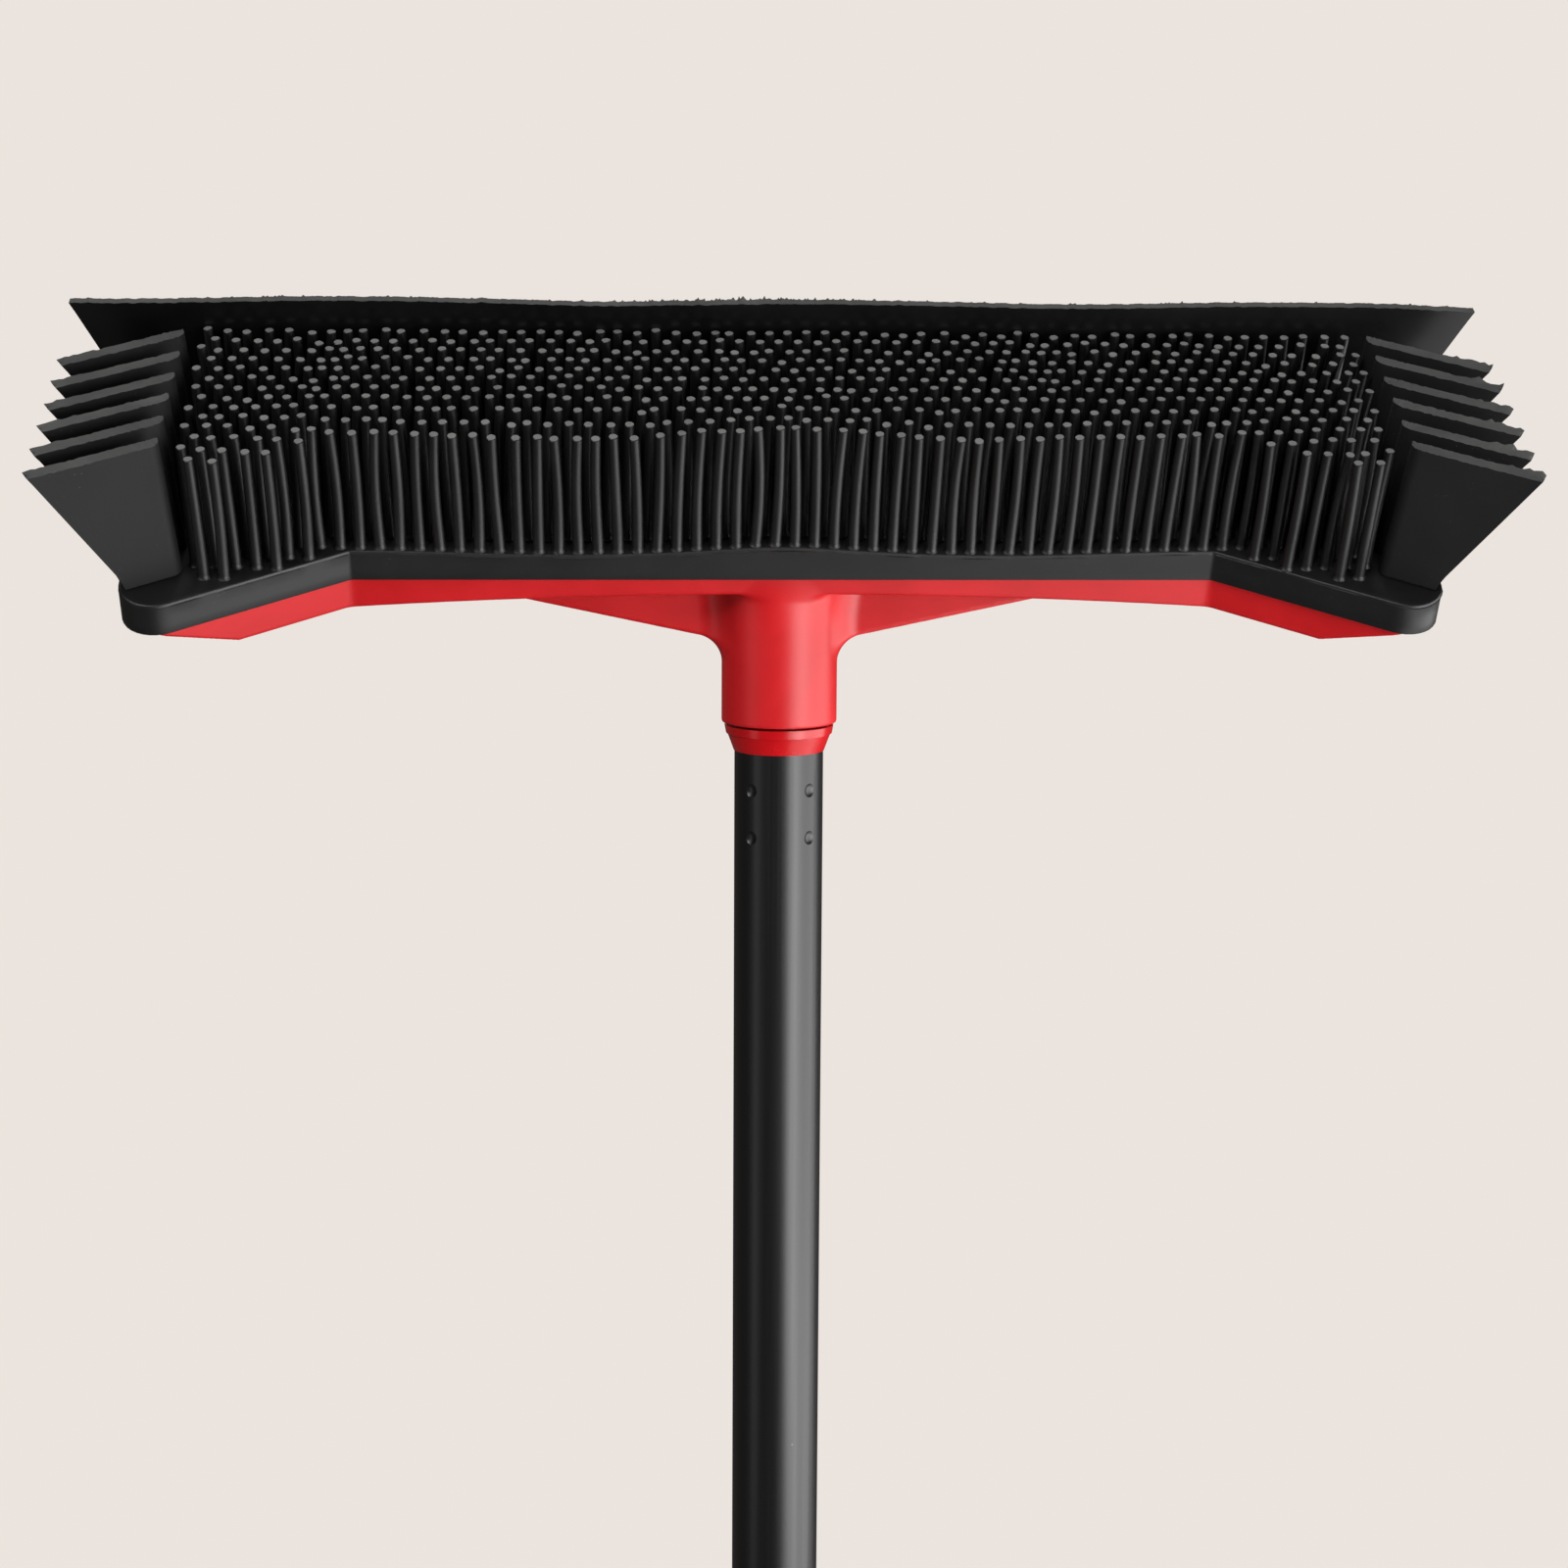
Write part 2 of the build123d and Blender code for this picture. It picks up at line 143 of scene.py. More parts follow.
# %% Colour and node helpers


def paint(hex_colour):
    """A six-digit sRGB hex colour as Blender's linear red, green, blue and alpha."""
    parts = [int(hex_colour[k:k + 2], 16) / 255 for k in (0, 2, 4)]
    linear = [c / 12.92 if c <= 0.04045 else ((c + 0.055) / 1.055) ** 2.4 for c in parts]
    return (*linear, 1.0)


def node(tree, kind, settings=None, **sockets):
    """Adds a node. settings are its properties; sockets are values or links, by input name or _number."""
    made = tree.nodes.new(kind)
    for name, value in (settings or {}).items():
        setattr(made, name, value)
    for name, value in sockets.items():
        key = int(name[1:]) if name[0] == "_" and name[1:].isdigit() else name.replace("_", " ")
        if isinstance(value, bpy.types.NodeSocket):
            tree.links.new(value, made.inputs[key])
        else:
            made.inputs[key].default_value = value
    return made


def new_material(name):
    """An empty material with a shader and its output: (material, tree, shader)."""
    material = bpy.data.materials.new(name)
    material.use_nodes = True
    tree = material.node_tree
    tree.nodes.clear()
    shader = node(tree, "ShaderNodeBsdfPrincipled")
    node(tree, "ShaderNodeOutputMaterial", Surface=shader.outputs["BSDF"])
    return material, tree, shader


def noise(tree, place, size, detail, **more):
    """A cloudy pattern whose patches are about size wide."""
    return node(tree, "ShaderNodeTexNoise", Vector=place, Scale=1 / size, Detail=detail,
                **more).outputs["Fac"]


def spread(tree, value, low, high, start=0.0, end=1.0):
    """Turns low to high of a pattern into start to end."""
    return node(tree, "ShaderNodeMapRange", Value=value, From_Min=low, From_Max=high, To_Min=start,
                To_Max=end).outputs[0]


def blend(tree, share, first, second):
    """A mix of two hex colours. The first may also be a link."""
    first = paint(first) if isinstance(first, str) else first
    return node(tree, "ShaderNodeMix", {"data_type": "RGBA"}, Factor=share, _6=first,
                _7=paint(second)).outputs[2]


def dress(tree, shader, colour, roughness, grain, depth, strength, ior):
    """Gives a shader its colour, its roughness and a grain of that depth."""
    bump = node(tree, "ShaderNodeBump", Height=grain, Distance=depth, Strength=strength)
    tree.links.new(colour, shader.inputs["Base Color"])
    tree.links.new(roughness, shader.inputs["Roughness"])
    tree.links.new(bump.outputs[0], shader.inputs["Normal"])
    shader.inputs["IOR"].default_value = ior


# %% [markdown]
# ## Studio
# A product like this is shot against one pale sheet. The floor lies under the drawn-out handle and is
# far larger than the view. For the camera it glows in the sheet's own colour at full strength, so it
# looks even from edge to edge, but it gives the broom only a tenth of that light, and the air behind it
# gives a twentieth. So the broom stands in a darker room, as between black flags. One very large soft
# box at the right gives the broad streak down the tube, and a smaller one beside it brings the streak
# further round. One at the left front keeps the right-hand fins out of the dark, and a narrow faint one
# beside it draws the tube's left side. One above picks out the bristles' tips, a weak one low at the
# right lights the shell's band from below, and one stands behind.

# %% Backdrop
SHEET = "EBE4DE"
FLOOR_SIZE = 30.0
HANDLE_TRAVEL = 0.62                 # m that the handle reaches further down when it is drawn out
# strength that only the camera sees, and strength that also lights the broom
FLOOR_GLOW = (0.90, 0.10)
AIR_GLOW = (0.95, 0.05)
floor_z = cad_bounds[0].z - HANDLE_TRAVEL

floor_mesh = bpy.data.meshes.new("pale_floor")
half = FLOOR_SIZE / 2
floor_mesh.from_pydata(
    [(-half, -half, floor_z), (half, -half, floor_z), (half, half, floor_z), (-half, half, floor_z)],
    [], [(0, 1, 2, 3)],
)
floor = bpy.data.objects.new("pale_floor", floor_mesh)
bpy.context.scene.collection.objects.link(floor)
floor_material, floor_tree, floor_shader = new_material("seamless_paper")
seen = node(floor_tree, "ShaderNodeLightPath").outputs["Is Camera Ray"]
glow = node(floor_tree, "ShaderNodeMath", {"operation": "MULTIPLY_ADD"}, _0=seen,
            _1=FLOOR_GLOW[0], _2=FLOOR_GLOW[1])
floor_shader.inputs["Base Color"].default_value = paint("0C0C0C")
floor_shader.inputs["Roughness"].default_value = 0.9
floor_shader.inputs["Specular IOR Level"].default_value = 0.0
floor_shader.inputs["Emission Color"].default_value = paint(SHEET)
floor_tree.links.new(glow.outputs[0], floor_shader.inputs["Emission Strength"])
floor_mesh.materials.append(floor_material)

world = bpy.data.worlds.new("studio_air")
bpy.context.scene.world = world
world.use_nodes = True
world_tree = world.node_tree
world_tree.nodes.clear()
seen = node(world_tree, "ShaderNodeLightPath").outputs["Is Camera Ray"]
strength = node(world_tree, "ShaderNodeMath", {"operation": "MULTIPLY_ADD"}, _0=seen,
                _1=AIR_GLOW[0], _2=AIR_GLOW[1])
air = node(world_tree, "ShaderNodeBackground", Color=paint(SHEET), Strength=strength.outputs[0])
node(world_tree, "ShaderNodeOutputWorld", Surface=air.outputs[0])

# %% Lights


def soft_box(name, place, width, height, watts):
    """A white rectangular soft light, placed from the top of the tube and facing it. Sizes are in metres."""
    lamp = bpy.data.lights.new(name, "AREA")
    lamp.shape = "RECTANGLE"
    lamp.size = width
    lamp.size_y = height
    lamp.energy = watts
    holder = bpy.data.objects.new(name, lamp)
    bpy.context.scene.collection.objects.link(holder)
    holder.location = Vector(place) + Vector((0, 0, tube_high.z))
    holder.rotation_mode = "QUATERNION"
    holder.rotation_quaternion = (-Vector(place)).to_track_quat("-Z", "Y")
    holder.visible_camera = False


soft_box("key_right", (1.20, -0.42, -0.25), 2.2, 1.2, 27)
soft_box("edge_right", (0.78, -1.05, -0.25), 0.8, 1.2, 11)
soft_box("fill_left", (-0.80, -1.10, 0.90), 0.9, 0.7, 15)
soft_box("faint_left", (-1.10, -0.62, -0.10), 0.35, 1.4, 1.2)
soft_box("top_light", (0.0, -0.10, 1.60), 1.2, 1.0, 7)
soft_box("table_right", (0.50, -0.18, -0.70), 0.8, 0.9, 3.0)
soft_box("back_light", (-0.3, 1.9, 0.9), 1.4, 1.4, 20)
print("studio ready, floor at", round(floor_z, 3), "m")

# %% [markdown]
# ## Natural rubber, moulded and cut
# The bristles, fins, pad and lip are one moulding of black natural rubber. It could be a plain dark
# shader, but real moulded rubber is never even: the mould's skin gives a satin sheen, soft cloudy
# patches show where it flowed, and pale dust clings to it. So three patterns share the work, with sizes
# from the real thing: clouds of about 14 mm, a skin grain of 0.35 mm, and specks under half a
# millimetre. The grain is finer than the picture can show, so it is drawn about twice as coarse. Where a
# blade trimmed the rubber, the skin is gone: the cut is rougher and quite matt, and its paler grey is a
# painted highlight for the light that falls on these tops. Five finishes come from one function: satin for
# the pad and bristles, dull for the fins, polished for the lip with a darker black that is painted shade,
# and two cut ones painted pale, for the edges of fins and lip and for the bristles' tips.

# %% Natural rubber, moulded and cut
RUBBER_CLOUD = 14 * MM
RUBBER_GRAIN = 0.7 * MM
DUST_SPACING = 1.6 * MM


def natural_rubber(name, dark, pale, smooth, rough, dust, grain_depth, specular=0.5):
    """Black rubber. dark and pale are hex, smooth and rough the roughness range, grain_depth in m."""
    material, tree, shader = new_material(name)
    place = node(tree, "ShaderNodeTexCoord").outputs["Object"]
    clouds = noise(tree, place, RUBBER_CLOUD, 5.0, Roughness=0.6)
    grain = noise(tree, place, RUBBER_GRAIN, 2.0)
    specks = node(tree, "ShaderNodeTexVoronoi", Vector=place, Scale=1 / DUST_SPACING).outputs["Distance"]
    clean = blend(tree, spread(tree, clouds, 0.3, 0.7), dark, pale)
    dust_share = node(tree, "ShaderNodeMath", {"operation": "MULTIPLY"},
                      _0=spread(tree, specks, 0.05, 0.1, 1.0, 0.0),
                      _1=spread(tree, clouds, 0.45, 0.7, 0.0, dust)).outputs[0]
    sheen = spread(tree, clouds, 0.0, 1.0, smooth, rough)
    dress(tree, shader, blend(tree, dust_share, clean, "8C8A86"), sheen, grain, grain_depth, 0.6, 1.52)
    shader.inputs["Specular IOR Level"].default_value = specular
    return material


natural_rubber_moulded = natural_rubber("natural_rubber_moulded", "070707", "0D0D0E", 0.40, 0.54, 0.20,
                                        0.02 * MM)
natural_rubber_worn = natural_rubber("natural_rubber_worn_mould", "070707", "0E0E0E", 0.62, 0.78, 0.35,
                                     0.03 * MM, specular=0.36)
# The lip: a smoother mould skin, and a darker black that is painted shade for the bristles' shadow.
natural_rubber_sleek_painted_shade = natural_rubber("natural_rubber_polished_mould_painted_shade", "060606", "0A0A0B", 0.24, 0.34, 0.12,
                                      0.01 * MM)
# Trimmed tops of fins and lip: rough and matt, with a paler grey that is painted highlight.
natural_rubber_sawn_painted_highlight = natural_rubber("natural_rubber_sawn_edge_painted_highlight", "383838", "4C4C4B", 0.7, 0.9, 0.6, 0.06 * MM)
# Bristles' cut tips: rough and matt, with a pale grey that is painted highlight for the top light on them.
natural_rubber_cut_painted_highlight = natural_rubber("natural_rubber_cut_tip_painted_highlight", "626262", "787775", 0.7, 0.9, 0.5, 0.06 * MM)
print("rubber clouds every", RUBBER_CLOUD / MM, "mm, grain every", RUBBER_GRAIN / MM, "mm")

# %% [markdown]
# ## Polypropylene, moulded
# The shell, the screw insert, the collar and the hanging cap are red polypropylene from a mould. It is a
# little waxy: light goes in about a millimetre before it comes back, which softens the shadows. The
# mould's spark-worn skin leaves a satin surface with a grain of about 0.25 mm, drawn at 0.5 mm so that
# it shows, and the melt leaves faint wide flow marks. A coat of clear varnish would look too hard.
# The screw insert has a glossier mould and a darker red, which is painted shade for the shadow under the
# socket's rim.

# %% Polypropylene, moulded
FLOW_MARK = 22 * MM
SPARK_GRAIN = 0.5 * MM
SCUFF_SPACING = 3.5 * MM


def polypropylene(name, dark, pale, smooth, rough):
    """Red moulded polypropylene."""
    material, tree, shader = new_material(name)
    place = node(tree, "ShaderNodeTexCoord").outputs["Object"]
    flow = noise(tree, place, FLOW_MARK, 3.0, Distortion=0.6)
    grain = noise(tree, place, SPARK_GRAIN, 1.5)
    scuffs = noise(tree, place, SCUFF_SPACING, 4.0, Distortion=1.5)
    colour = blend(tree, spread(tree, flow, 0.35, 0.65), dark, pale)
    roughness = node(tree, "ShaderNodeMath", {"operation": "ADD"},
                     _0=spread(tree, flow, 0.0, 1.0, smooth, rough),
                     _1=spread(tree, scuffs, 0.6, 0.75, 0.0, 0.07)).outputs[0]
    dress(tree, shader, colour, roughness, grain, 0.008 * MM, 0.5, 1.49)
    shader.inputs["Subsurface Weight"].default_value = 0.08
    shader.inputs["Subsurface Radius"].default_value = (1.0, 0.25, 0.2)
    shader.inputs["Subsurface Scale"].default_value = 1.2 * MM
    return material


polypropylene_moulded = polypropylene("polypropylene_moulded", "BC0F15", "C9171D", 0.36, 0.44)
# Screw insert: glossier, with a darker red that is painted shade from the socket's rim.
polypropylene_glossy_painted_shade = polypropylene("polypropylene_polished_mould_painted_shade", "AE0510", "BA0D14", 0.20, 0.28)
print("flow marks every", FLOW_MARK / MM, "mm, spark grain every", SPARK_GRAIN / MM, "mm")

# %% [markdown]
# ## Powder-coated steel
# Both tubes are thin steel with a black powder coat, baked on. The powder melts into a smooth satin film
# with a faint orange peel, bumps of about 1.5 mm that are only microns high. They show as a slight
# wander in the long streak of light. A car-paint shader would be far too clean: here the film also
# carries a few pale nicks, and the tube that slides has fine rub marks along its length.

# %% Powder-coated steel
ORANGE_PEEL = 1.5 * MM
NICK_SPACING = 19 * MM
RUB_WIDTH = 0.45 * MM
RUB_LENGTH = 90 * MM


def powder_coat(name, rub_marks):
    """Black powder coat. rub_marks from 0 to 1 is how much sliding has polished it."""
    material, tree, shader = new_material(name)
    place = node(tree, "ShaderNodeTexCoord").outputs["Object"]
    peel = noise(tree, place, ORANGE_PEEL, 1.0)
    nicks = node(tree, "ShaderNodeTexVoronoi", Vector=place, Scale=1 / NICK_SPACING).outputs["Distance"]
    along = node(tree, "ShaderNodeMapping", Vector=place,
                 Scale=(1 / RUB_WIDTH, 1 / RUB_WIDTH, 1 / RUB_LENGTH)).outputs[0]
    rubs = noise(tree, along, 1.0, 2.0)
    film = blend(tree, spread(tree, nicks, 0.012, 0.03, 0.5, 0.0), "0B0B0C", "8A8884")
    polish = spread(tree, rubs, 0.35, 0.65, 0.33 - 0.08 * rub_marks, 0.35 + 0.12 * rub_marks)
    dress(tree, shader, film, polish, peel, 0.006 * MM, 0.5, 1.55)
    return material


powder_coated_steel = powder_coat("powder_coated_steel_film", 0.15)
powder_coated_rubbed = powder_coat("powder_coated_steel_rubbed", 1.0)
print("orange peel every", ORANGE_PEEL / MM, "mm")

# %% [markdown]
# ## Grip rubber and nylon
# The hand grip is a soft black thermoplastic rubber, matt from a sand-blasted mould, with a pebbled grain
# of about 0.8 mm. The little parts of the twist lock are black nylon, harder and a bit shinier, with the
# dull swirls that glass-filled nylon shows. One function makes both, as they differ only in numbers.

# %% Grip rubber and nylon
GRIP_PEBBLE = 0.8 * MM
NYLON_GRAIN = 0.45 * MM
SWIRL_SIZE = 9 * MM


def pebbled_plastic(name, dark, pale, smooth, rough, pebble, depth, ior):
    """A black plastic from a textured mould. pebble is the grain's spacing, depth its height, both in m."""
    material, tree, shader = new_material(name)
    place = node(tree, "ShaderNodeTexCoord").outputs["Object"]
    swirl = noise(tree, place, SWIRL_SIZE, 4.0, Distortion=1.0)
    pebbles = node(tree, "ShaderNodeTexVoronoi", {"feature": "SMOOTH_F1"}, Vector=place, Scale=1 / pebble)
    colour = blend(tree, spread(tree, swirl, 0.3, 0.7), dark, pale)
    satin = spread(tree, swirl, 0.0, 1.0, smooth, rough)
    dress(tree, shader, colour, satin, pebbles.outputs["Distance"], depth, 0.7, ior)
    return material


grip_rubber_moulded = pebbled_plastic("grip_rubber_moulded", "0E0E0E", "191919", 0.55, 0.72, GRIP_PEBBLE,
                                      0.05 * MM, 1.5)
nylon_moulded = pebbled_plastic("glass_filled_nylon_moulded", "121213", "1E1E20", 0.34, 0.5, NYLON_GRAIN,
                                0.015 * MM, 1.53)
print("grip pebbles", round(GRIP_PEBBLE / MM, 2), "mm, nylon grain", round(NYLON_GRAIN / MM, 2), "mm")

# %% [markdown]
# ## From points to pieces
# Every soft shape here is worked out as points in the head's axes, in millimetres. One function turns
# such points and faces into a Blender mesh in the row frame, smooths it up to its real edges, and hands
# it to its CAD body in place of the plain CAD nodes.

# %% Making a piece
EDGE_ANGLE = math.radians(35)


def make_piece(name, points, faces, materials, body, stands_for, face_kinds=None, edge=EDGE_ANGLE):
    """A mesh from points in the head's axes that stands for CAD nodes and rides on their body."""
    mesh = bpy.data.meshes.new(name)
    mesh.from_pydata([tuple(p) for p in to_frame(points)], [], faces)
    for material in materials:
        mesh.materials.append(material)
    if face_kinds is not None:
        mesh.polygons.foreach_set("material_index", face_kinds)
    return settle(bpy.data.objects.new(name, mesh), body, stands_for, edge)


def settle(piece, body, stands_for, edge=EDGE_ANGLE):
    """Cleans a piece's mesh, shades it smooth between its edges, and puts it on its body."""
    if piece.name not in bpy.context.scene.collection.objects:
        bpy.context.scene.collection.objects.link(piece)
    shape = bmesh.new()
    shape.from_mesh(piece.data)
    bmesh.ops.remove_doubles(shape, verts=shape.verts, dist=0.002 * MM)
    bmesh.ops.recalc_face_normals(shape, faces=shape.faces)
    shape.to_mesh(piece.data)
    shape.free()
    piece.data.shade_smooth()
    piece.data.set_sharp_from_angle(angle=edge)
    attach(piece, body)
    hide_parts(*stands_for)
    return piece


def grid_faces(rows, columns, first=0, closed=False):
    """Quads of a grid of points stored row after row. closed joins the last column to the first."""
    quads = []
    for r in range(rows - 1):
        for c in range(columns if closed else columns - 1):
            d = (c + 1) % columns
            quads.append((first + r * columns + c, first + r * columns + d,
                          first + (r + 1) * columns + d, first + (r + 1) * columns + c))
    return quads


def join_sheets(sheets):
    """Grids of points as one mesh: (points, faces, kinds). sheets are pairs of a grid and its kind."""
    points, faces, kinds = [], [], []
    for sheet, kind in sheets:
        quads = grid_faces(sheet.shape[0], sheet.shape[1], sum(len(p) for p in points))
        points.append(sheet.reshape(-1, 3))
        faces += quads
        kinds += [kind] * len(quads)
    return np.concatenate(points), faces, kinds


# %% [markdown]
# ## Rubber pad and skirt
# The pad is the rubber sheet that carries every bristle, with a skirt that turns down over the rim of
# the red shell. Its outline is a long bar whose ends bend forward. An extruded outline would give dead
# sharp edges, so the pad is drawn as rings: the same outline again and again, set in by a little and
# moved up or down, from the pocket under the pad, round the skirt's lip, up the outside, over a rounded
# edge and onto the top. Between its corners the front edge sags, as rubber does where nothing holds it,
# and a thin line of flash runs where the two halves of the mould met.

# %% The pad's outline
PAD_FOLD = (102.5, -27.0)            # x and y of the fold between the middle and a wing
PAD_END_FRONT = 153.5
PAD_END_BACK = (155.5, 27.0)
WING_SLOPE = 0.56
CORNER_RADIUS = 8.0
FOLD_RADIUS = 2.0
PAD_END_FRONT_Y = PAD_FOLD[1] - WING_SLOPE * (PAD_END_FRONT - PAD_FOLD[0])
# each corner: x, y, its radius, and how many points run along the side that follows it
PAD_CORNERS = (
    (-PAD_FOLD[0], PAD_FOLD[1], FOLD_RADIUS, 160), (PAD_FOLD[0], PAD_FOLD[1], FOLD_RADIUS, 40),
    (PAD_END_FRONT, PAD_END_FRONT_Y, CORNER_RADIUS, 40), (*PAD_END_BACK, CORNER_RADIUS, 120),
    (-PAD_END_BACK[0], PAD_END_BACK[1], CORNER_RADIUS, 40),
    (-PAD_END_FRONT, PAD_END_FRONT_Y, CORNER_RADIUS, 40),
)
ARC_STEPS = 10


def pad_outline(inset):
    """The pad's outline seen from above, set in by inset mm. It always has the same number of points."""
    corners = np.array([c[:2] for c in PAD_CORNERS])
    steps = np.roll(corners, -1, 0) - corners
    ways = steps / np.linalg.norm(steps, axis=1)[:, None]
    inward = np.stack([-ways[:, 1], ways[:, 0]], 1)
    arcs = []
    for k, (x, y, radius, _) in enumerate(PAD_CORNERS):
        before, after = ways[k - 1], ways[k]
        turn = math.atan2(before[0] * after[1] - before[1] * after[0], before @ after)
        corner = np.array([x, y]) + (inward[k - 1] + inward[k]) * inset / (1 + before @ after)
        bend = max(radius - inset, 0.3) if turn > 0 else radius + inset
        start = corner - before * bend * math.tan(abs(turn) / 2)
        side = inward[k - 1] * (1 if turn > 0 else -1)
        centre = start + side * bend
        angles = np.linspace(0, turn, ARC_STEPS + 1)
        spoke = -side
        arcs.append(np.stack([
            centre[0] + bend * (spoke[0] * np.cos(angles) - spoke[1] * np.sin(angles)),
            centre[1] + bend * (spoke[0] * np.sin(angles) + spoke[1] * np.cos(angles)),
        ], 1))
    outline = []
    for k, (_, _, _, count) in enumerate(PAD_CORNERS):
        share = np.linspace(0, 1, count + 1)[1:-1, None]
        outline += [arcs[k], arcs[k][-1] * (1 - share) + arcs[(k + 1) % len(arcs)][0] * share]
    return np.concatenate(outline)


outer = pad_outline(0)
outer_box = np.array([outer.min(0), outer.max(0)])
pad_box = np.array([pad_points.min(0)[:2], pad_points.max(0)[:2]])
print("outline of", len(outer), "points, off the CAD pad by", np.abs(outer_box - pad_box).max().round(2),
      "mm")

# %% Pad sag, shared by the pad and the bristles' feet
SAG_REACH = 9.0                       # mm back from the front edge over which the sag fades
SAG_DEPTH = 1.0                       # mm, everywhere but over the socket
SAG_SOCKET_REACH = 18                 # mm each side of the socket that it holds the pad up
SAG_EXTRA = 1.2                       # mm more, half-way between the socket and a fold


def pad_sag(x, y):
    """How far the pad's top has sagged at x, y, in mm."""
    x, y = np.abs(x), np.asarray(y, float)
    middle = np.where(x < PAD_FOLD[0], np.sin(np.pi * np.minimum(x, PAD_FOLD[0]) / PAD_FOLD[0]) ** 2, 0)
    along = SAG_DEPTH * (1 - np.exp(-(x / SAG_SOCKET_REACH) ** 2)) + SAG_EXTRA * middle
    behind = y - PAD_FOLD[1] + WING_SLOPE * np.maximum(x - PAD_FOLD[0], 0)
    return along * np.exp(-(np.maximum(behind, 0) / SAG_REACH) ** 2)


# %% Pad rings
SKIRT_HEIGHT = -float(pad_points[:, 2].min())
SKIRT_WALL = 1.8
PAD_THICKNESS = 3.4
EDGE_ROUND = 0.45
FLASH_Z = -0.75
FLASH_WIDTH = 0.1             # mm that the flash stands out
FLASH_RAG = 0.06              # how much that width wanders, in mm
FLASH_SMOOTHING = 21          # outline points over which a slow drift of the width is taken out
FLASH_TEAR = (1, 4, 0.35)     # a torn rag at the front: its x, half its length, how far it stands out
flash_draw = random.Random(5)
# each ring: how far it is set in, its height, and how much of the sag and of the flash it takes
PAD_RINGS = [(SKIRT_WALL, -PAD_THICKNESS, 0, 0), (SKIRT_WALL, 0.5 - SKIRT_HEIGHT, 0, 0),
             (SKIRT_WALL - 0.3, -SKIRT_HEIGHT, 0, 0), (0.5, -SKIRT_HEIGHT, 0, 0),
             (0.15, 0.15 - SKIRT_HEIGHT, 0, 0), (0, 0.5 - SKIRT_HEIGHT, 0, 0), (0, -6.5, 0.3, 0),
             (0, -4.2, 0.65, 0), (0, FLASH_Z - 0.35, 1, 0), (0, FLASH_Z - 0.1, 1, 0.5), (0, FLASH_Z, 1, 1),
             (0, FLASH_Z + 0.1, 1, 0.3), (0, FLASH_Z + 0.3, 1, 0)]
for angle in np.radians((0, 22, 45, 68, 90)):
    PAD_RINGS.append((EDGE_ROUND * (1 - math.cos(angle)), EDGE_ROUND * (math.sin(angle) - 1), 1, 0))
PAD_RINGS += [(inset, 0, 1, 0) for inset in (1.8, 3, 4.5, 6.5, 9, 12, 16)]

ring_size = len(outer)
walk = np.cumsum([flash_draw.gauss(0, 1) for _ in range(ring_size)])
drift = np.convolve(np.concatenate([walk] * 3), np.ones(FLASH_SMOOTHING) / FLASH_SMOOTHING, "same")
flash = FLASH_WIDTH + FLASH_RAG * np.clip(walk - drift[ring_size:2 * ring_size], -1.2, 2.5)
tear_x, tear_half, tear_width = FLASH_TEAR
flash += np.where(np.abs(outer[:, 0] - tear_x) < tear_half, tear_width, 0) * (outer[:, 1] < PAD_FOLD[1] + 1)
pad_rings = []
for inset, height, sag_share, flash_share in PAD_RINGS:
    ring = pad_outline(inset)
    if flash_share:
        ring = ring + (outer - pad_outline(1.0)) * (flash * flash_share)[:, None]
    sag = pad_sag(ring[:, 0], ring[:, 1]) * sag_share
    pad_rings.append(np.column_stack([ring, height - sag]))
pad_faces = grid_faces(len(pad_rings), ring_size, 0, closed=True)
last_ring = (len(pad_rings) - 1) * ring_size
pad_faces.append(tuple(range(last_ring, last_ring + ring_size)))
pad_faces.append(tuple(reversed(range(ring_size))))
make_piece("rubber_pad", np.concatenate(pad_rings), pad_faces, [natural_rubber_moulded], "root",
           ["rubber_base"])
print("pad of", len(pad_rings), "rings")

# %% [markdown]
# ## Bristles
# On the real broom each bristle is a round rubber finger, a little thicker at its root, with a small
# fillet where it grows out of the pad and a flat tip where the moulding was trimmed. They could be an
# array of one cone, but nothing says rubber like bristles that no longer stand quite straight. So each
# is drawn on its own centre line: it leaves the pad square, then leans by a small random amount plus a
# push from a few ruffled places, which bend neighbours together. Roots come from the CAD rows.

# %% Bristles
BRISTLE_SIDES = 12
BRISTLE_STEPS = 7
ROOT_FILLET_HEIGHT = 1.0
ROOT_FILLET_WIDTH = 0.45
ROOT_DEPTH = 2.6              # mm that each root reaches down into the pad
TIP_ROUNDING = 0.14
RANDOM_LEAN = 0.42            # mm at the tip, one standard deviation
RANDOM_BOW = 0.22             # mm at half height, one standard deviation
LEAN_CURVE = 1.6              # power of the height by which a lean grows
TIP_UNEVEN = (-0.25, 0.1)     # mm that a bristle's length is out by
WING_LEAN_FROM = 118          # mm from the middle, where the wing's lean begins
WING_LEAN = 0.6               # mm outwards for each WING_LEAN_OVER mm beyond that
WING_LEAN_OVER = 20
FRONT_LEAN = 1.0              # mm forward for each mm that the pad has sagged under the bristle
# each ruffle: x and y of its middle, its radius, and how far it pushes tips in x and y, in mm
RUFFLES = (
    (-113, 6, 11, 2.0, -0.8), (-99, 4, 10, -1.9, 0.6), (-128, -12, 10, 0.9, -0.6), (-58, -8, 13, 0.8, 0.5),
    (52, 2, 13, 1.6, 0.6), (71, 8, 12, -1.5, -0.6), (95, -4, 14, 0.8, 0.7), (131, 6, 13, 2.6, -0.6),
    (118, 16, 10, -0.9, -0.9), (8, 12, 16, -0.7, 0.4), (-20, -20, 12, 0.7, 0.0), (-78, -22, 9, -0.8, 0.0),
)
rng = random.Random(7)
bristle_names = sorted(n for n in nodes if n.startswith("bristle_row_"))


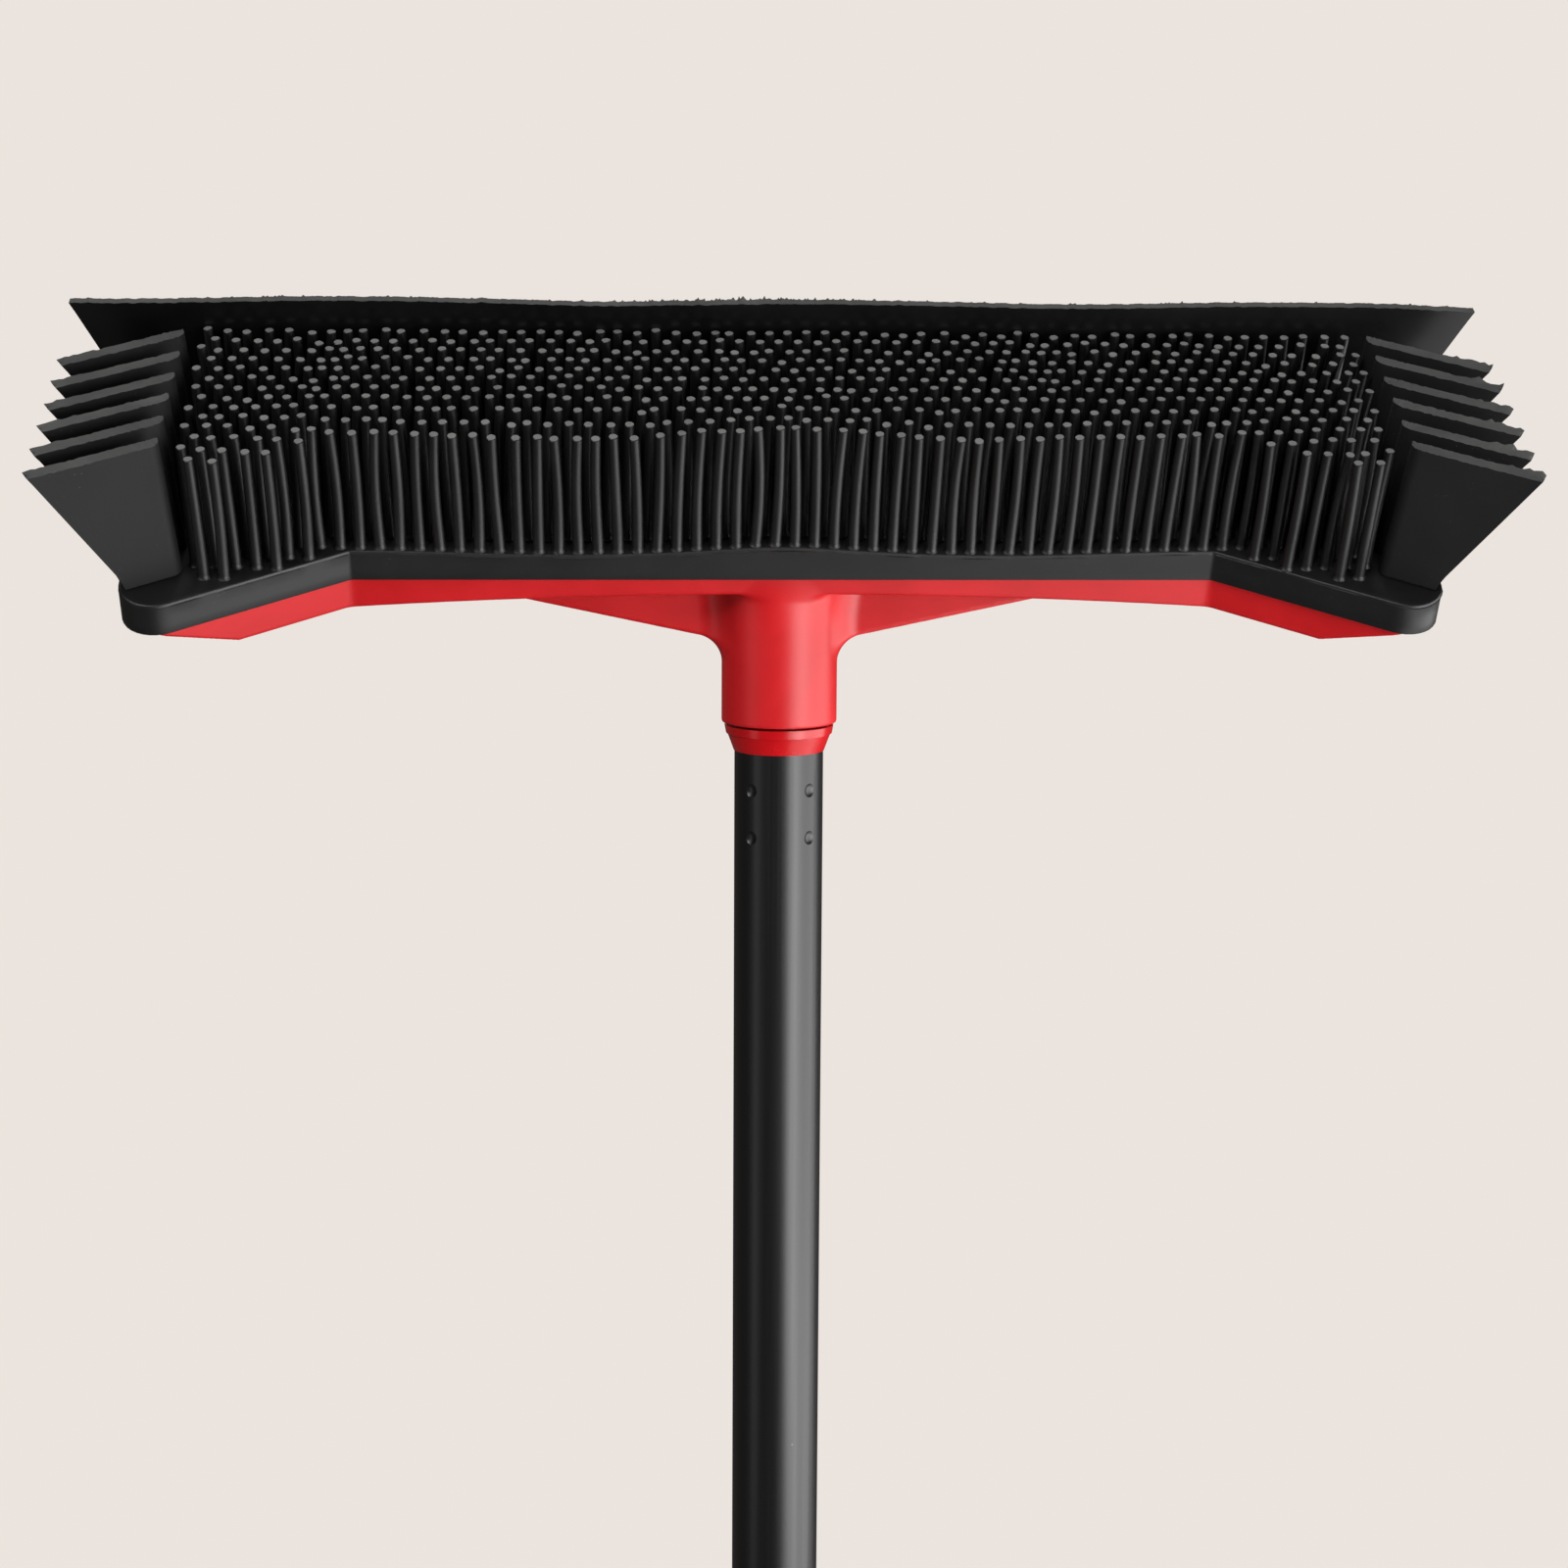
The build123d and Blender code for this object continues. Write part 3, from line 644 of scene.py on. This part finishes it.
def bristle_feet(name):
    """Root centre and height of each bristle in a CAD row: [(x, y, length, root radius, tip radius)]."""
    points = node_points(name)
    length = float(points[:, 2].max())
    feet = points[points[:, 2] < 0.01]
    feet = feet[np.argsort(feet[:, 0])]
    groups = np.split(feet, np.where(np.diff(feet[:, 0]) > 1.0)[0] + 1)
    tips = points[points[:, 2] > length - 0.01]
    found = []
    for group in groups:
        middle = (group.max(0) + group.min(0)) / 2
        root_radius = float(group[:, 0].max() - group[:, 0].min()) / 2
        above = tips[np.abs(tips[:, 0] - middle[0]) < 1.6]
        tip_radius = float(above[:, 0].max() - above[:, 0].min()) / 2
        found.append((float(middle[0]), float(middle[1]), length, root_radius, tip_radius))
    return found


def tip_push(x, y):
    """How far the tip of the bristle at x, y has moved, in mm."""
    push = np.array([rng.gauss(0, RANDOM_LEAN), rng.gauss(0, RANDOM_LEAN)])
    push[0] += math.copysign(WING_LEAN * max(abs(x) - WING_LEAN_FROM, 0) / WING_LEAN_OVER, x)
    push[1] -= FRONT_LEAN * float(pad_sag(x, y))
    for mx, my, radius, dx, dy in RUFFLES:
        share = math.exp(-((x - mx) ** 2 + (y - my) ** 2) / radius ** 2)
        push += share * np.array([dx, dy])
    return push


def bristle(x, y, length, root_radius, tip_radius):
    """Rings of points from the root to the trimmed tip: (points, faces, kinds). Kind 1 is the cut tip."""
    push = tip_push(x, y)
    bow = np.array([rng.gauss(0, RANDOM_BOW), rng.gauss(0, RANDOM_BOW)])
    foot = -float(pad_sag(x, y))
    reach = length + rng.uniform(*TIP_UNEVEN) + 0.8 * foot
    heights = [-ROOT_DEPTH, foot, foot + 0.45 * ROOT_FILLET_HEIGHT, foot + ROOT_FILLET_HEIGHT]
    shaft = reach - TIP_ROUNDING - heights[-1]
    heights += [heights[3] + shaft * k / BRISTLE_STEPS for k in range(1, BRISTLE_STEPS + 1)]
    heights += [reach]
    rings = []
    for k, z in enumerate(heights):
        t = min(max(z / reach, 0), 1)
        radius = root_radius + (tip_radius - root_radius) * t
        if k < 2:
            radius += ROOT_FILLET_WIDTH
        elif k == 2:
            radius += ROOT_FILLET_WIDTH * 0.25
        if k == len(heights) - 1:
            radius -= TIP_ROUNDING
        offset = push * t ** LEAN_CURVE + bow * math.sin(math.pi * t)
        lean = push * LEAN_CURVE * max(t, 0.01) ** (LEAN_CURVE - 1)
        slope = (lean + bow * math.pi * math.cos(math.pi * t)) / reach
        turn = np.linspace(0, 2 * math.pi, BRISTLE_SIDES, endpoint=False)
        ring = np.stack([
            x + offset[0] + radius * np.cos(turn),
            y + offset[1] + radius * np.sin(turn),
            z - radius * (np.cos(turn) * slope[0] + np.sin(turn) * slope[1]),
        ], 1)
        rings.append(ring)
    top = rings[-1]
    middle = top.mean(0, keepdims=True) + [[0, 0, rng.uniform(-0.06, 0.02)]]
    points = np.concatenate(rings + [middle])
    faces = grid_faces(len(heights), BRISTLE_SIDES, 0, closed=True)
    kinds = [0] * len(faces)
    last = (len(heights) - 1) * BRISTLE_SIDES
    for c in range(BRISTLE_SIDES):
        faces.append((last + c, last + (c + 1) % BRISTLE_SIDES, len(points) - 1))
    kinds += [1] * BRISTLE_SIDES
    faces.append(tuple(reversed(range(BRISTLE_SIDES))))
    return points, faces, kinds + [0]


bristle_count = 0
for row_name in bristle_names:
    row_points, row_faces, row_kinds = [], [], []
    for foot in bristle_feet(row_name):
        points, faces, kinds = bristle(*foot)
        start = sum(len(p) for p in row_points)
        row_points.append(points)
        row_faces += [tuple(i + start for i in face) for face in faces]
        row_kinds += kinds
        bristle_count += 1
    # The tips wear the cut rubber, whose pale grey is a painted highlight.
    make_piece(row_name.replace("bristle_row", "bristles"), np.concatenate(row_points), row_faces,
               [natural_rubber_moulded, natural_rubber_cut_painted_highlight], "root", [row_name], row_kinds)
print(bristle_count, "bristles in", len(bristle_names), "rows")

# %% [markdown]
# ## End fins
# Six flat fins stand at each end. Each is a blade that widens towards its tip, with a quarter-round on
# its inner edge, a soft fillet where its outer edge meets the pad, and a trimmed top with rags of flash
# left by the cutter. Scaling a box can't give that, so a fin is a grid: across it from the inner edge
# to the outer, and up it from root to tip, once for each face, with a narrow strip for the trimmed top.

# %% End fins
FIN_THICKNESS = 3.3
FIN_ACROSS = 46
FIN_UP = 22
FIN_NOSE = 3.2               # radius of the rounded inner edge, mm
FIN_FOOT_FILLET = 5.0        # height of the fillet at the outer edge's foot, mm
FIN_FOOT_SPREAD = 0.6        # and how far it reaches out, mm
FIN_CUT_STEPS = 4
FIN_CUT_LOSS = 0.1           # mm that the trimming takes off the height
FIN_CUT_WOBBLE = 0.07        # mm, one standard deviation


def fin_shape(name, side):
    """Of a CAD fin: its height, its reach in x at root and tip, and its tip's front corner."""
    points = node_points(name) * [side, 1, 1]
    height = float(points[:, 2].max())
    root = points[points[:, 2] < 0.05]
    tip = points[points[:, 2] > height - 0.05]
    front = tip[np.argmin(tip[:, 1])]
    return (height, (float(root[:, 0].min()), float(root[:, 0].max())),
            (float(tip[:, 0].min()), float(tip[:, 0].max())), (float(front[0]), float(front[1])))


def fin_rags(draw, across, share):
    """Height of the torn flash along a fin's back edge, in mm, for each place across it."""
    rags = np.zeros(len(across))
    for _ in range(draw.randint(6, 10)):
        middle = draw.uniform(0.7, 1.0)
        width = draw.uniform(0.012, 0.04)
        rags += draw.uniform(0.25, 0.9) * np.clip(1 - np.abs(across - middle) / width, 0, 1)
    return np.minimum(rags, 1.1) * share


def make_fin(name, side, draw):
    """A fin piece. side is -1 for the left end and 1 for the right, where the cutter left more rags."""
    rag_share = 1.0 if side > 0 else 0.25
    height, root_x, tip_x, (front_x, front_y) = fin_shape(name, side)
    stretch = math.hypot(1, WING_SLOPE)
    back = np.array([WING_SLOPE, 1]) / stretch
    across = np.linspace(0, 1, FIN_ACROSS) ** 1.5
    up = np.linspace(0, 1, FIN_UP) ** 1.25
    lean = draw.uniform(-0.5, 0.5)
    curl = draw.uniform(0.1, 0.5)
    thickness_x = FIN_THICKNESS * back[0]     # the CAD outline's outer corners belong to the back face
    sheets = []
    for face in ("front", "back"):
        sheet = np.zeros((FIN_UP, FIN_ACROSS, 3))
        for r, v in enumerate(up):
            z = v * height
            inner_x = root_x[0] + (tip_x[0] - root_x[0]) * v - thickness_x
            outer_x = root_x[1] + (tip_x[1] - root_x[1]) * v - thickness_x
            if z < FIN_FOOT_FILLET:
                outer_x += FIN_FOOT_SPREAD * (1 - z / FIN_FOOT_FILLET) ** 2
            x = inner_x + (outer_x - inner_x) * across
            s = (x - inner_x) * stretch
            arc = np.sqrt(np.clip(FIN_NOSE ** 2 - (FIN_NOSE - s) ** 2, 0, None))
            inset = np.minimum(np.where(s < FIN_NOSE, FIN_NOSE - arc, 0), FIN_THICKNESS)
            depth = inset if face == "front" else np.full(len(x), FIN_THICKNESS)
            bend = lean * v ** 2 + curl * across ** 2 * v ** 2
            sheet[r, :, 0] = x + back[0] * (depth + bend)
            sheet[r, :, 1] = front_y - WING_SLOPE * (x - front_x) + back[1] * (depth + bend)
            sheet[r, :, 2] = z
        sheets.append(sheet)
    front_sheet, back_sheet = sheets
    wobble = np.array([draw.gauss(0, FIN_CUT_WOBBLE) for _ in range(FIN_ACROSS)])
    front_sheet[-1, :, 2] += wobble - FIN_CUT_LOSS
    back_sheet[-1, :, 2] += np.roll(wobble, 3) + fin_rags(draw, across, rag_share) - FIN_CUT_LOSS
    back_sheet[-1, :, 1] += 0.25 * fin_rags(draw, across, rag_share)
    cut = np.zeros((FIN_CUT_STEPS + 1, FIN_ACROSS, 3))
    for k in range(FIN_CUT_STEPS + 1):
        t = k / FIN_CUT_STEPS
        lift = t ** 6
        cut[k] = front_sheet[-1] * (1 - t) + back_sheet[-1] * t
        cut[k, :, 2] = front_sheet[-1, :, 2] * (1 - lift) + back_sheet[-1, :, 2] * lift
        if 0 < k < FIN_CUT_STEPS:
            cut[k, :, 2] += [draw.gauss(0, 0.05) for _ in range(FIN_ACROSS)]
    end = np.zeros((FIN_UP, 3, 3))
    for k, t in enumerate((0.0, 0.5, 1.0)):
        end[:, k] = front_sheet[:, -1] * (1 - t) + back_sheet[:, -1] * t
    end[-1] = np.stack([cut[0, -1], cut[FIN_CUT_STEPS // 2, -1], cut[-1, -1]])
    foot = np.stack([front_sheet[0], back_sheet[0]])
    points, faces, kinds = join_sheets([(front_sheet, 0), (back_sheet, 0), (cut, 1), (end, 0), (foot, 0)])
    # The trimmed top wears the sawn-edge rubber, painted pale as highlight.
    make_piece(name + "_rubber", points * [side, 1, 1], faces, [natural_rubber_worn, natural_rubber_sawn_painted_highlight],
               "root", [name], kinds)


for side_name, side in (("left", -1), ("right", 1)):
    for number in range(1, 7):
        make_fin(f"{side_name}_fin_{number}", side, random.Random(100 * number + side))
print("12 fins,", FIN_THICKNESS, "mm thick")

# %% [markdown]
# ## Squeegee lip
# A long thin lip runs along the back and flares past the fins at both ends. Rubber this thin never stays
# flat: its free edge waves. The lip is a grid along and up, its two faces pushed back and forth by a few
# long waves that grow towards the edge. The edge was cut with a blade and is painted paler than the
# moulded faces, a painted highlight for the light on its top, and little crumbs are left along its back
# corner. The faces are a darker black, painted shade for the bristles' shadow on them.

# %% Squeegee lip
LIP_ALONG = 1100
LIP_UP = 14
LIP_CUT_STEPS = 3
LIP_CUT_LOSS = 0.15           # mm that the blade takes off the height
CRUMBS = 130
CRUMB_HALF = 0.0019           # half a crumb's width, as a share of half the lip's length
# each wave of the free edge: its middle along the broom, its width and its push in y, in mm
LIP_WAVES = ((-160, 34, -1.1), (-104, 42, 1.0), (-42, 26, -1.2), (6, 30, 0.5), (70, 26, -1.1), (128, 30, 0.5),
             (172, 16, -1.8))


def lip_wave(x):
    """Push of the lip's free edge at x, in mm."""
    return sum(push * np.exp(-((x - middle) / width) ** 2) for middle, width, push in LIP_WAVES)


lip_points = node_points("squeegee_blade")
lip_height = float(lip_points[:, 2].max())
lip_root = lip_points[lip_points[:, 2] < 0.05]
lip_tip = lip_points[lip_points[:, 2] > lip_height - 0.05]
crumb_draw = random.Random(31)
along_share = np.linspace(-1, 1, LIP_ALONG)
up_share = np.linspace(0, 1, LIP_UP)
crumbs = np.zeros(LIP_ALONG)
for _ in range(CRUMBS):
    place = crumb_draw.choice((crumb_draw.uniform(-1, 1), crumb_draw.gauss(-0.05, 0.09)))
    crumb_height = crumb_draw.uniform(0.15, 0.6)
    crumbs += crumb_height * np.clip(1 - np.abs(along_share - place) / CRUMB_HALF, 0, 1)
lip_sheets = []
for which in (np.min, np.max):
    sheet = np.zeros((LIP_UP, LIP_ALONG, 3))
    for r, v in enumerate(up_share):
        half_length = lip_root[:, 0].max() * (1 - v) + lip_tip[:, 0].max() * v
        x = along_share * half_length
        y = which(lip_root[:, 1]) * (1 - v) + which(lip_tip[:, 1]) * v
        sheet[r, :, 0] = x
        sheet[r, :, 1] = y + lip_wave(x) * v ** 1.7
        sheet[r, :, 2] = v * lip_height
    lip_sheets.append(sheet)
lip_front, lip_back = lip_sheets
edge_wobble = np.convolve([crumb_draw.gauss(0, 0.16) for _ in range(LIP_ALONG)], np.ones(5) / 5, "same")
lip_front[-1, :, 2] += edge_wobble - LIP_CUT_LOSS
lip_back[-1, :, 2] += edge_wobble - LIP_CUT_LOSS
lip_cut = np.stack([lip_front[-1] * (1 - k / LIP_CUT_STEPS) + lip_back[-1] * (k / LIP_CUT_STEPS)
                    for k in range(LIP_CUT_STEPS + 1)])
lip_cut[-1, :, 2] += crumbs
lip_back[-1, :, 2] += crumbs
lip_ends = [np.stack([lip_front[:, column], lip_back[:, column]], 1) for column in (0, -1)]
for column, end in zip((0, -1), lip_ends):
    end[-1, 0], end[-1, 1] = lip_cut[0, column], lip_cut[-1, column]
lip_foot = np.stack([lip_front[0], lip_back[0]])
points, faces, kinds = join_sheets([(lip_front, 0), (lip_back, 0), (lip_cut, 1), (lip_ends[0], 0),
                                    (lip_ends[1], 0), (lip_foot, 0)])
# Lip faces painted darker as shade; its cut edge painted pale as highlight.
make_piece("squeegee_lip", points, faces, [natural_rubber_sleek_painted_shade, natural_rubber_sawn_painted_highlight],
           "root", ["squeegee_blade"], kinds)
print("lip", round(lip_height, 1), "mm high, waves up to",
      round(float(np.abs(lip_wave(along_share * 170)).max()), 1), "mm")

# %% [markdown]
# ## Red shell
# The shell is one moulding: a long bar with bent ends, a gusset on each side and a screw socket. On the
# real part every inside corner is filled and every outside corner is rounded. Bevels can't do this where
# a cone, a slope and a draft all meet. So the shell is written as distances: for any point, how far it
# is from each wall, negative inside. Joining two distances with a rounded minimum fills the corner
# between them with a true fillet, and a rounded maximum rounds an edge. A skin is then laid where the
# distance is zero, with one mesh point in every small cell that the surface crosses.

# %% Rounded joins


def filled_join(a, b, radius):
    """The two shapes together, with a fillet in the corner between them."""
    corner = np.hypot(np.maximum(radius - a, 0), np.maximum(radius - b, 0))
    return np.maximum(radius, np.minimum(a, b)) - corner


def rounded_cut(a, b, radius):
    """What both shapes share, with the edge between them rounded."""
    corner = np.hypot(np.maximum(radius + a, 0), np.maximum(radius + b, 0))
    return np.minimum(-radius, np.maximum(a, b)) + corner


# %% Plan distance
PLAN_STEP = 0.5
plan_x = np.arange(0, 158, PLAN_STEP)
plan_y = np.arange(-60, 31, PLAN_STEP)


def outline_distance(x, y):
    """Distance from each point to the pad's outline, negative inside."""
    ends = np.roll(outer, -1, 0)
    spans = ends - outer
    best = np.full(x.shape, 1e9)
    crossings = np.zeros(x.shape, int)
    for (ax, ay), by, (sx, sy) in zip(outer, ends[:, 1], spans):
        share = np.clip(((x - ax) * sx + (y - ay) * sy) / (sx * sx + sy * sy), 0, 1)
        best = np.minimum(best, (x - ax - share * sx) ** 2 + (y - ay - share * sy) ** 2)
        if ay != by:
            crossings += ((ay > y) != (by > y)) & (x < sx * (y - ay) / sy + ax)
    return np.sqrt(best) * np.where(crossings % 2, -1, 1)


plan_table = outline_distance(*np.meshgrid(plan_x, plan_y, indexing="ij"))


def plan_distance(x, y):
    """The same distance, read between the points of a table. The fold stays crisp however far in."""
    u = np.clip(np.abs(x) / PLAN_STEP, 0, len(plan_x) - 1.001)
    v = np.clip((y - plan_y[0]) / PLAN_STEP, 0, len(plan_y) - 1.001)
    i, j = u.astype(int), v.astype(int)
    u, v = u - i, v - j
    read = ((1 - u) * (1 - v) * plan_table[i, j] + u * (1 - v) * plan_table[i + 1, j]
            + (1 - u) * v * plan_table[i, j + 1] + u * v * plan_table[i + 1, j + 1])
    middle_line = PAD_FOLD[1] - y
    wing_line = (middle_line - WING_SLOPE * (np.abs(x) - PAD_FOLD[0])) / math.hypot(1, WING_SLOPE)
    return np.maximum(read, filled_join(middle_line, wing_line, 1.0))


print("plan table of", plan_table.size, "points")

# %% Shell distance
DRAFT = math.radians(9)
SHELL_LOW_MIDDLE = 6.2                # mm below the skirt, at the middle
SHELL_LOW_WINGS = 10.2
SHELL_VERTEX_X = 128.5
SHELL_RUN_OUT = 5.0                   # mm above the skirt's lip where the underside ends
SHELL_EDGE = 1.1
SOCKET_RADIUS = 14.2
SOCKET_MOUTH = 7.0 - HEAD_RISE / MM   # heights along the handle, from the head's origin
FLARE_LOW = -37.0
FLARE_HIGH = -14.0
FLARE_WIDTH = 4.2
GUSSET_LOW = -37.0
GUSSET_SLOPE = 0.21
GUSSET_HALF = 2.6
BORE_RADIUS = 9.75
BORE_TOP = SOCKET_MOUTH + 33
STEM_FILLET = 5.5                     # where a gusset meets the socket
BAR_FILLET = 2.6                      # where both meet the bar
SOCKET_EDGE, GUSSET_EDGE, BORE_EDGE = 0.5, 0.7, 0.4
FLOOR_TILT, GUSSET_TILT = 0.97, 0.98  # turn a height over a sloping wall into about its distance
RUBBER_GAP = 0.03                     # mm between the shell's skin and the skirt


def shell_floor(x):
    """Height of the shell's underside at x."""
    x = np.abs(x)
    low, middle = -SKIRT_HEIGHT - SHELL_LOW_WINGS, -SKIRT_HEIGHT - SHELL_LOW_MIDDLE
    arch = middle + (low - middle) * np.minimum(x / PAD_FOLD[0], 1) ** 2
    tip_rise = (low + SKIRT_HEIGHT - SHELL_RUN_OUT) / (PAD_END_BACK[0] + 2 - SHELL_VERTEX_X)
    return arch - tip_rise * np.maximum(x - SHELL_VERTEX_X, 0)


def shell_distance(x, y, z):
    """How far a point in the head's axes is from the shell's skin, in mm, negative inside."""
    pocket = plan_distance(x, y) + SKIRT_WALL
    drafted = (pocket + np.tan(DRAFT) * np.maximum(-SKIRT_HEIGHT - z, 0)) * math.cos(DRAFT)
    bar = rounded_cut(drafted, (shell_floor(x) - z) * FLOOR_TILT, SHELL_EDGE)
    along = y * math.sin(HEAD_TILT) + z * math.cos(HEAD_TILT)
    depth = y * math.cos(HEAD_TILT) - z * math.sin(HEAD_TILT)
    radius = np.hypot(x, depth)
    flare = np.clip((along - FLARE_LOW) / (FLARE_HIGH - FLARE_LOW), 0, 1.2)
    socket = rounded_cut(radius - SOCKET_RADIUS - FLARE_WIDTH * flare ** 2.4, SOCKET_MOUTH - along,
                         SOCKET_EDGE)
    gusset_floor = GUSSET_LOW + GUSSET_SLOPE * (np.abs(x) - SOCKET_RADIUS)
    gusset = rounded_cut(np.abs(depth) - GUSSET_HALF, (gusset_floor - along) * GUSSET_TILT,
                         GUSSET_EDGE)
    stem = filled_join(socket, gusset, STEM_FILLET)
    body = filled_join(bar, stem, BAR_FILLET)
    body = np.maximum(body, np.minimum(z + SKIRT_HEIGHT + RUBBER_GAP, pocket + RUBBER_GAP))
    bore = np.maximum(radius - BORE_RADIUS, along - BORE_TOP)
    body = rounded_cut(body, -bore, BORE_EDGE)
    return np.maximum(body, z + PAD_THICKNESS + 0.02)


# %% Laying the skin


def lay_skin(distance, low, high, cell):
    """Points and quads where distance is zero, one point in every cell that the surface crosses."""
    sides = [np.arange(a, b + cell, cell) for a, b in zip(low, high)]
    field = distance(sides[0][:, None, None], sides[1][None, :, None], sides[2][None, None, :])
    shape = [n - 1 for n in field.shape]
    whole = [slice(0, n) for n in shape]
    total = np.zeros((*shape, 3), np.float32)
    count = np.zeros(shape, np.float32)
    changes = []
    for axis in range(3):
        near = [slice(None)] * 3
        far = [slice(None)] * 3
        near[axis], far[axis] = slice(0, -1), slice(1, None)
        a, b = field[tuple(near)], field[tuple(far)]
        change = (a < 0) != (b < 0)
        changes.append((change, a < 0))
        share = np.where(change, a / np.where(change, a - b, 1), 0)
        others = [k for k in range(3) if k != axis]
        for p in (0, 1):
            for q in (0, 1):
                part = list(whole)
                part[others[0]] = slice(p, p + shape[others[0]])
                part[others[1]] = slice(q, q + shape[others[1]])
                mark = change[tuple(part)].astype(np.float32)
                count += mark
                total[..., axis] += share[tuple(part)] * mark
                total[..., others[0]] += p * mark
                total[..., others[1]] += q * mark
    cells = np.argwhere(count > 0)
    number = np.full(shape, -1, np.int64)
    number[tuple(cells.T)] = np.arange(len(cells))
    inside_cell = total[tuple(cells.T)] / count[tuple(cells.T)][:, None]
    points = np.array([s[0] for s in sides]) + (cells + inside_cell) * cell
    faces = []
    for axis, (change, a_inside) in enumerate(changes):
        b, c = [(axis + 1) % 3, (axis + 2) % 3]
        edges = np.argwhere(change)
        at_b, at_c = edges[:, b], edges[:, c]
        edges = edges[(at_b > 0) & (at_c > 0) & (at_b < shape[b]) & (at_c < shape[c])]
        quad = []
        for db, dc in ((1, 1), (0, 1), (0, 0), (1, 0)):
            spot = edges.copy()
            spot[:, b] -= db
            spot[:, c] -= dc
            quad.append(number[tuple(spot.T)])
        quad = np.stack(quad, 1)
        flip = ~a_inside[tuple(edges.T)]
        quad[flip] = quad[flip][:, ::-1]
        faces.append(quad)
    return points, np.concatenate(faces)


def pull_to_surface(distance, points, rounds=4):
    """Moves each point along the slope of the distance until it lies on the surface."""
    step = 0.05
    for _ in range(rounds):
        here = distance(*points.T)
        slope = np.stack([distance(*(points + np.eye(3)[k] * step).T)
                          - distance(*(points - np.eye(3)[k] * step).T) for k in range(3)], 1) / (2 * step)
        size = np.maximum((slope ** 2).sum(1), 0.25)
        points = points - np.clip(here / size, -0.3, 0.3)[:, None] * slope
    return points


SHELL_CELL = 0.6
SHELL_LOW, SHELL_HIGH = (-154.7, -57.5, -58.7), (154.7, 28.1, -2.9)     # the box that is searched, mm
skin_points, skin_faces = lay_skin(shell_distance, SHELL_LOW, SHELL_HIGH, SHELL_CELL)
skin_points = pull_to_surface(shell_distance, skin_points)
make_piece("moulded_shell", skin_points, skin_faces.tolist(), [polypropylene_moulded], "root",
           ["head_shell"], edge=math.radians(60))
print("shell of", len(skin_faces), "faces")

# %% [markdown]
# ## Handle
# The tubes, collar, insert, grip, cap and lock parts have their true shape in CAD already, so they stay
# and only get their finishes. Each CAD node has one material slot, and the list says what goes in it.

# %% Handle finishes
# The screw insert's darker red is painted shade from the socket's rim.
HANDLE_FINISHES = {
    "thread_insert": polypropylene_glossy_painted_shade, "tube_collar": polypropylene_moulded,
    "hang_cap": polypropylene_moulded, "outer_tube": powder_coated_steel,
    "inner_tube": powder_coated_rubbed, "grip_sleeve": grip_rubber_moulded,
    "expander_stud": nylon_moulded, "expander_sleeve": nylon_moulded, "wedge_nut": nylon_moulded,
}
for name, finish in HANDLE_FINISHES.items():
    for slot_holder in nodes[name].material_slots:
        slot_holder.material = finish
    print(name, "wears", finish.name, "on", len(nodes[name].data.polygons), "faces")
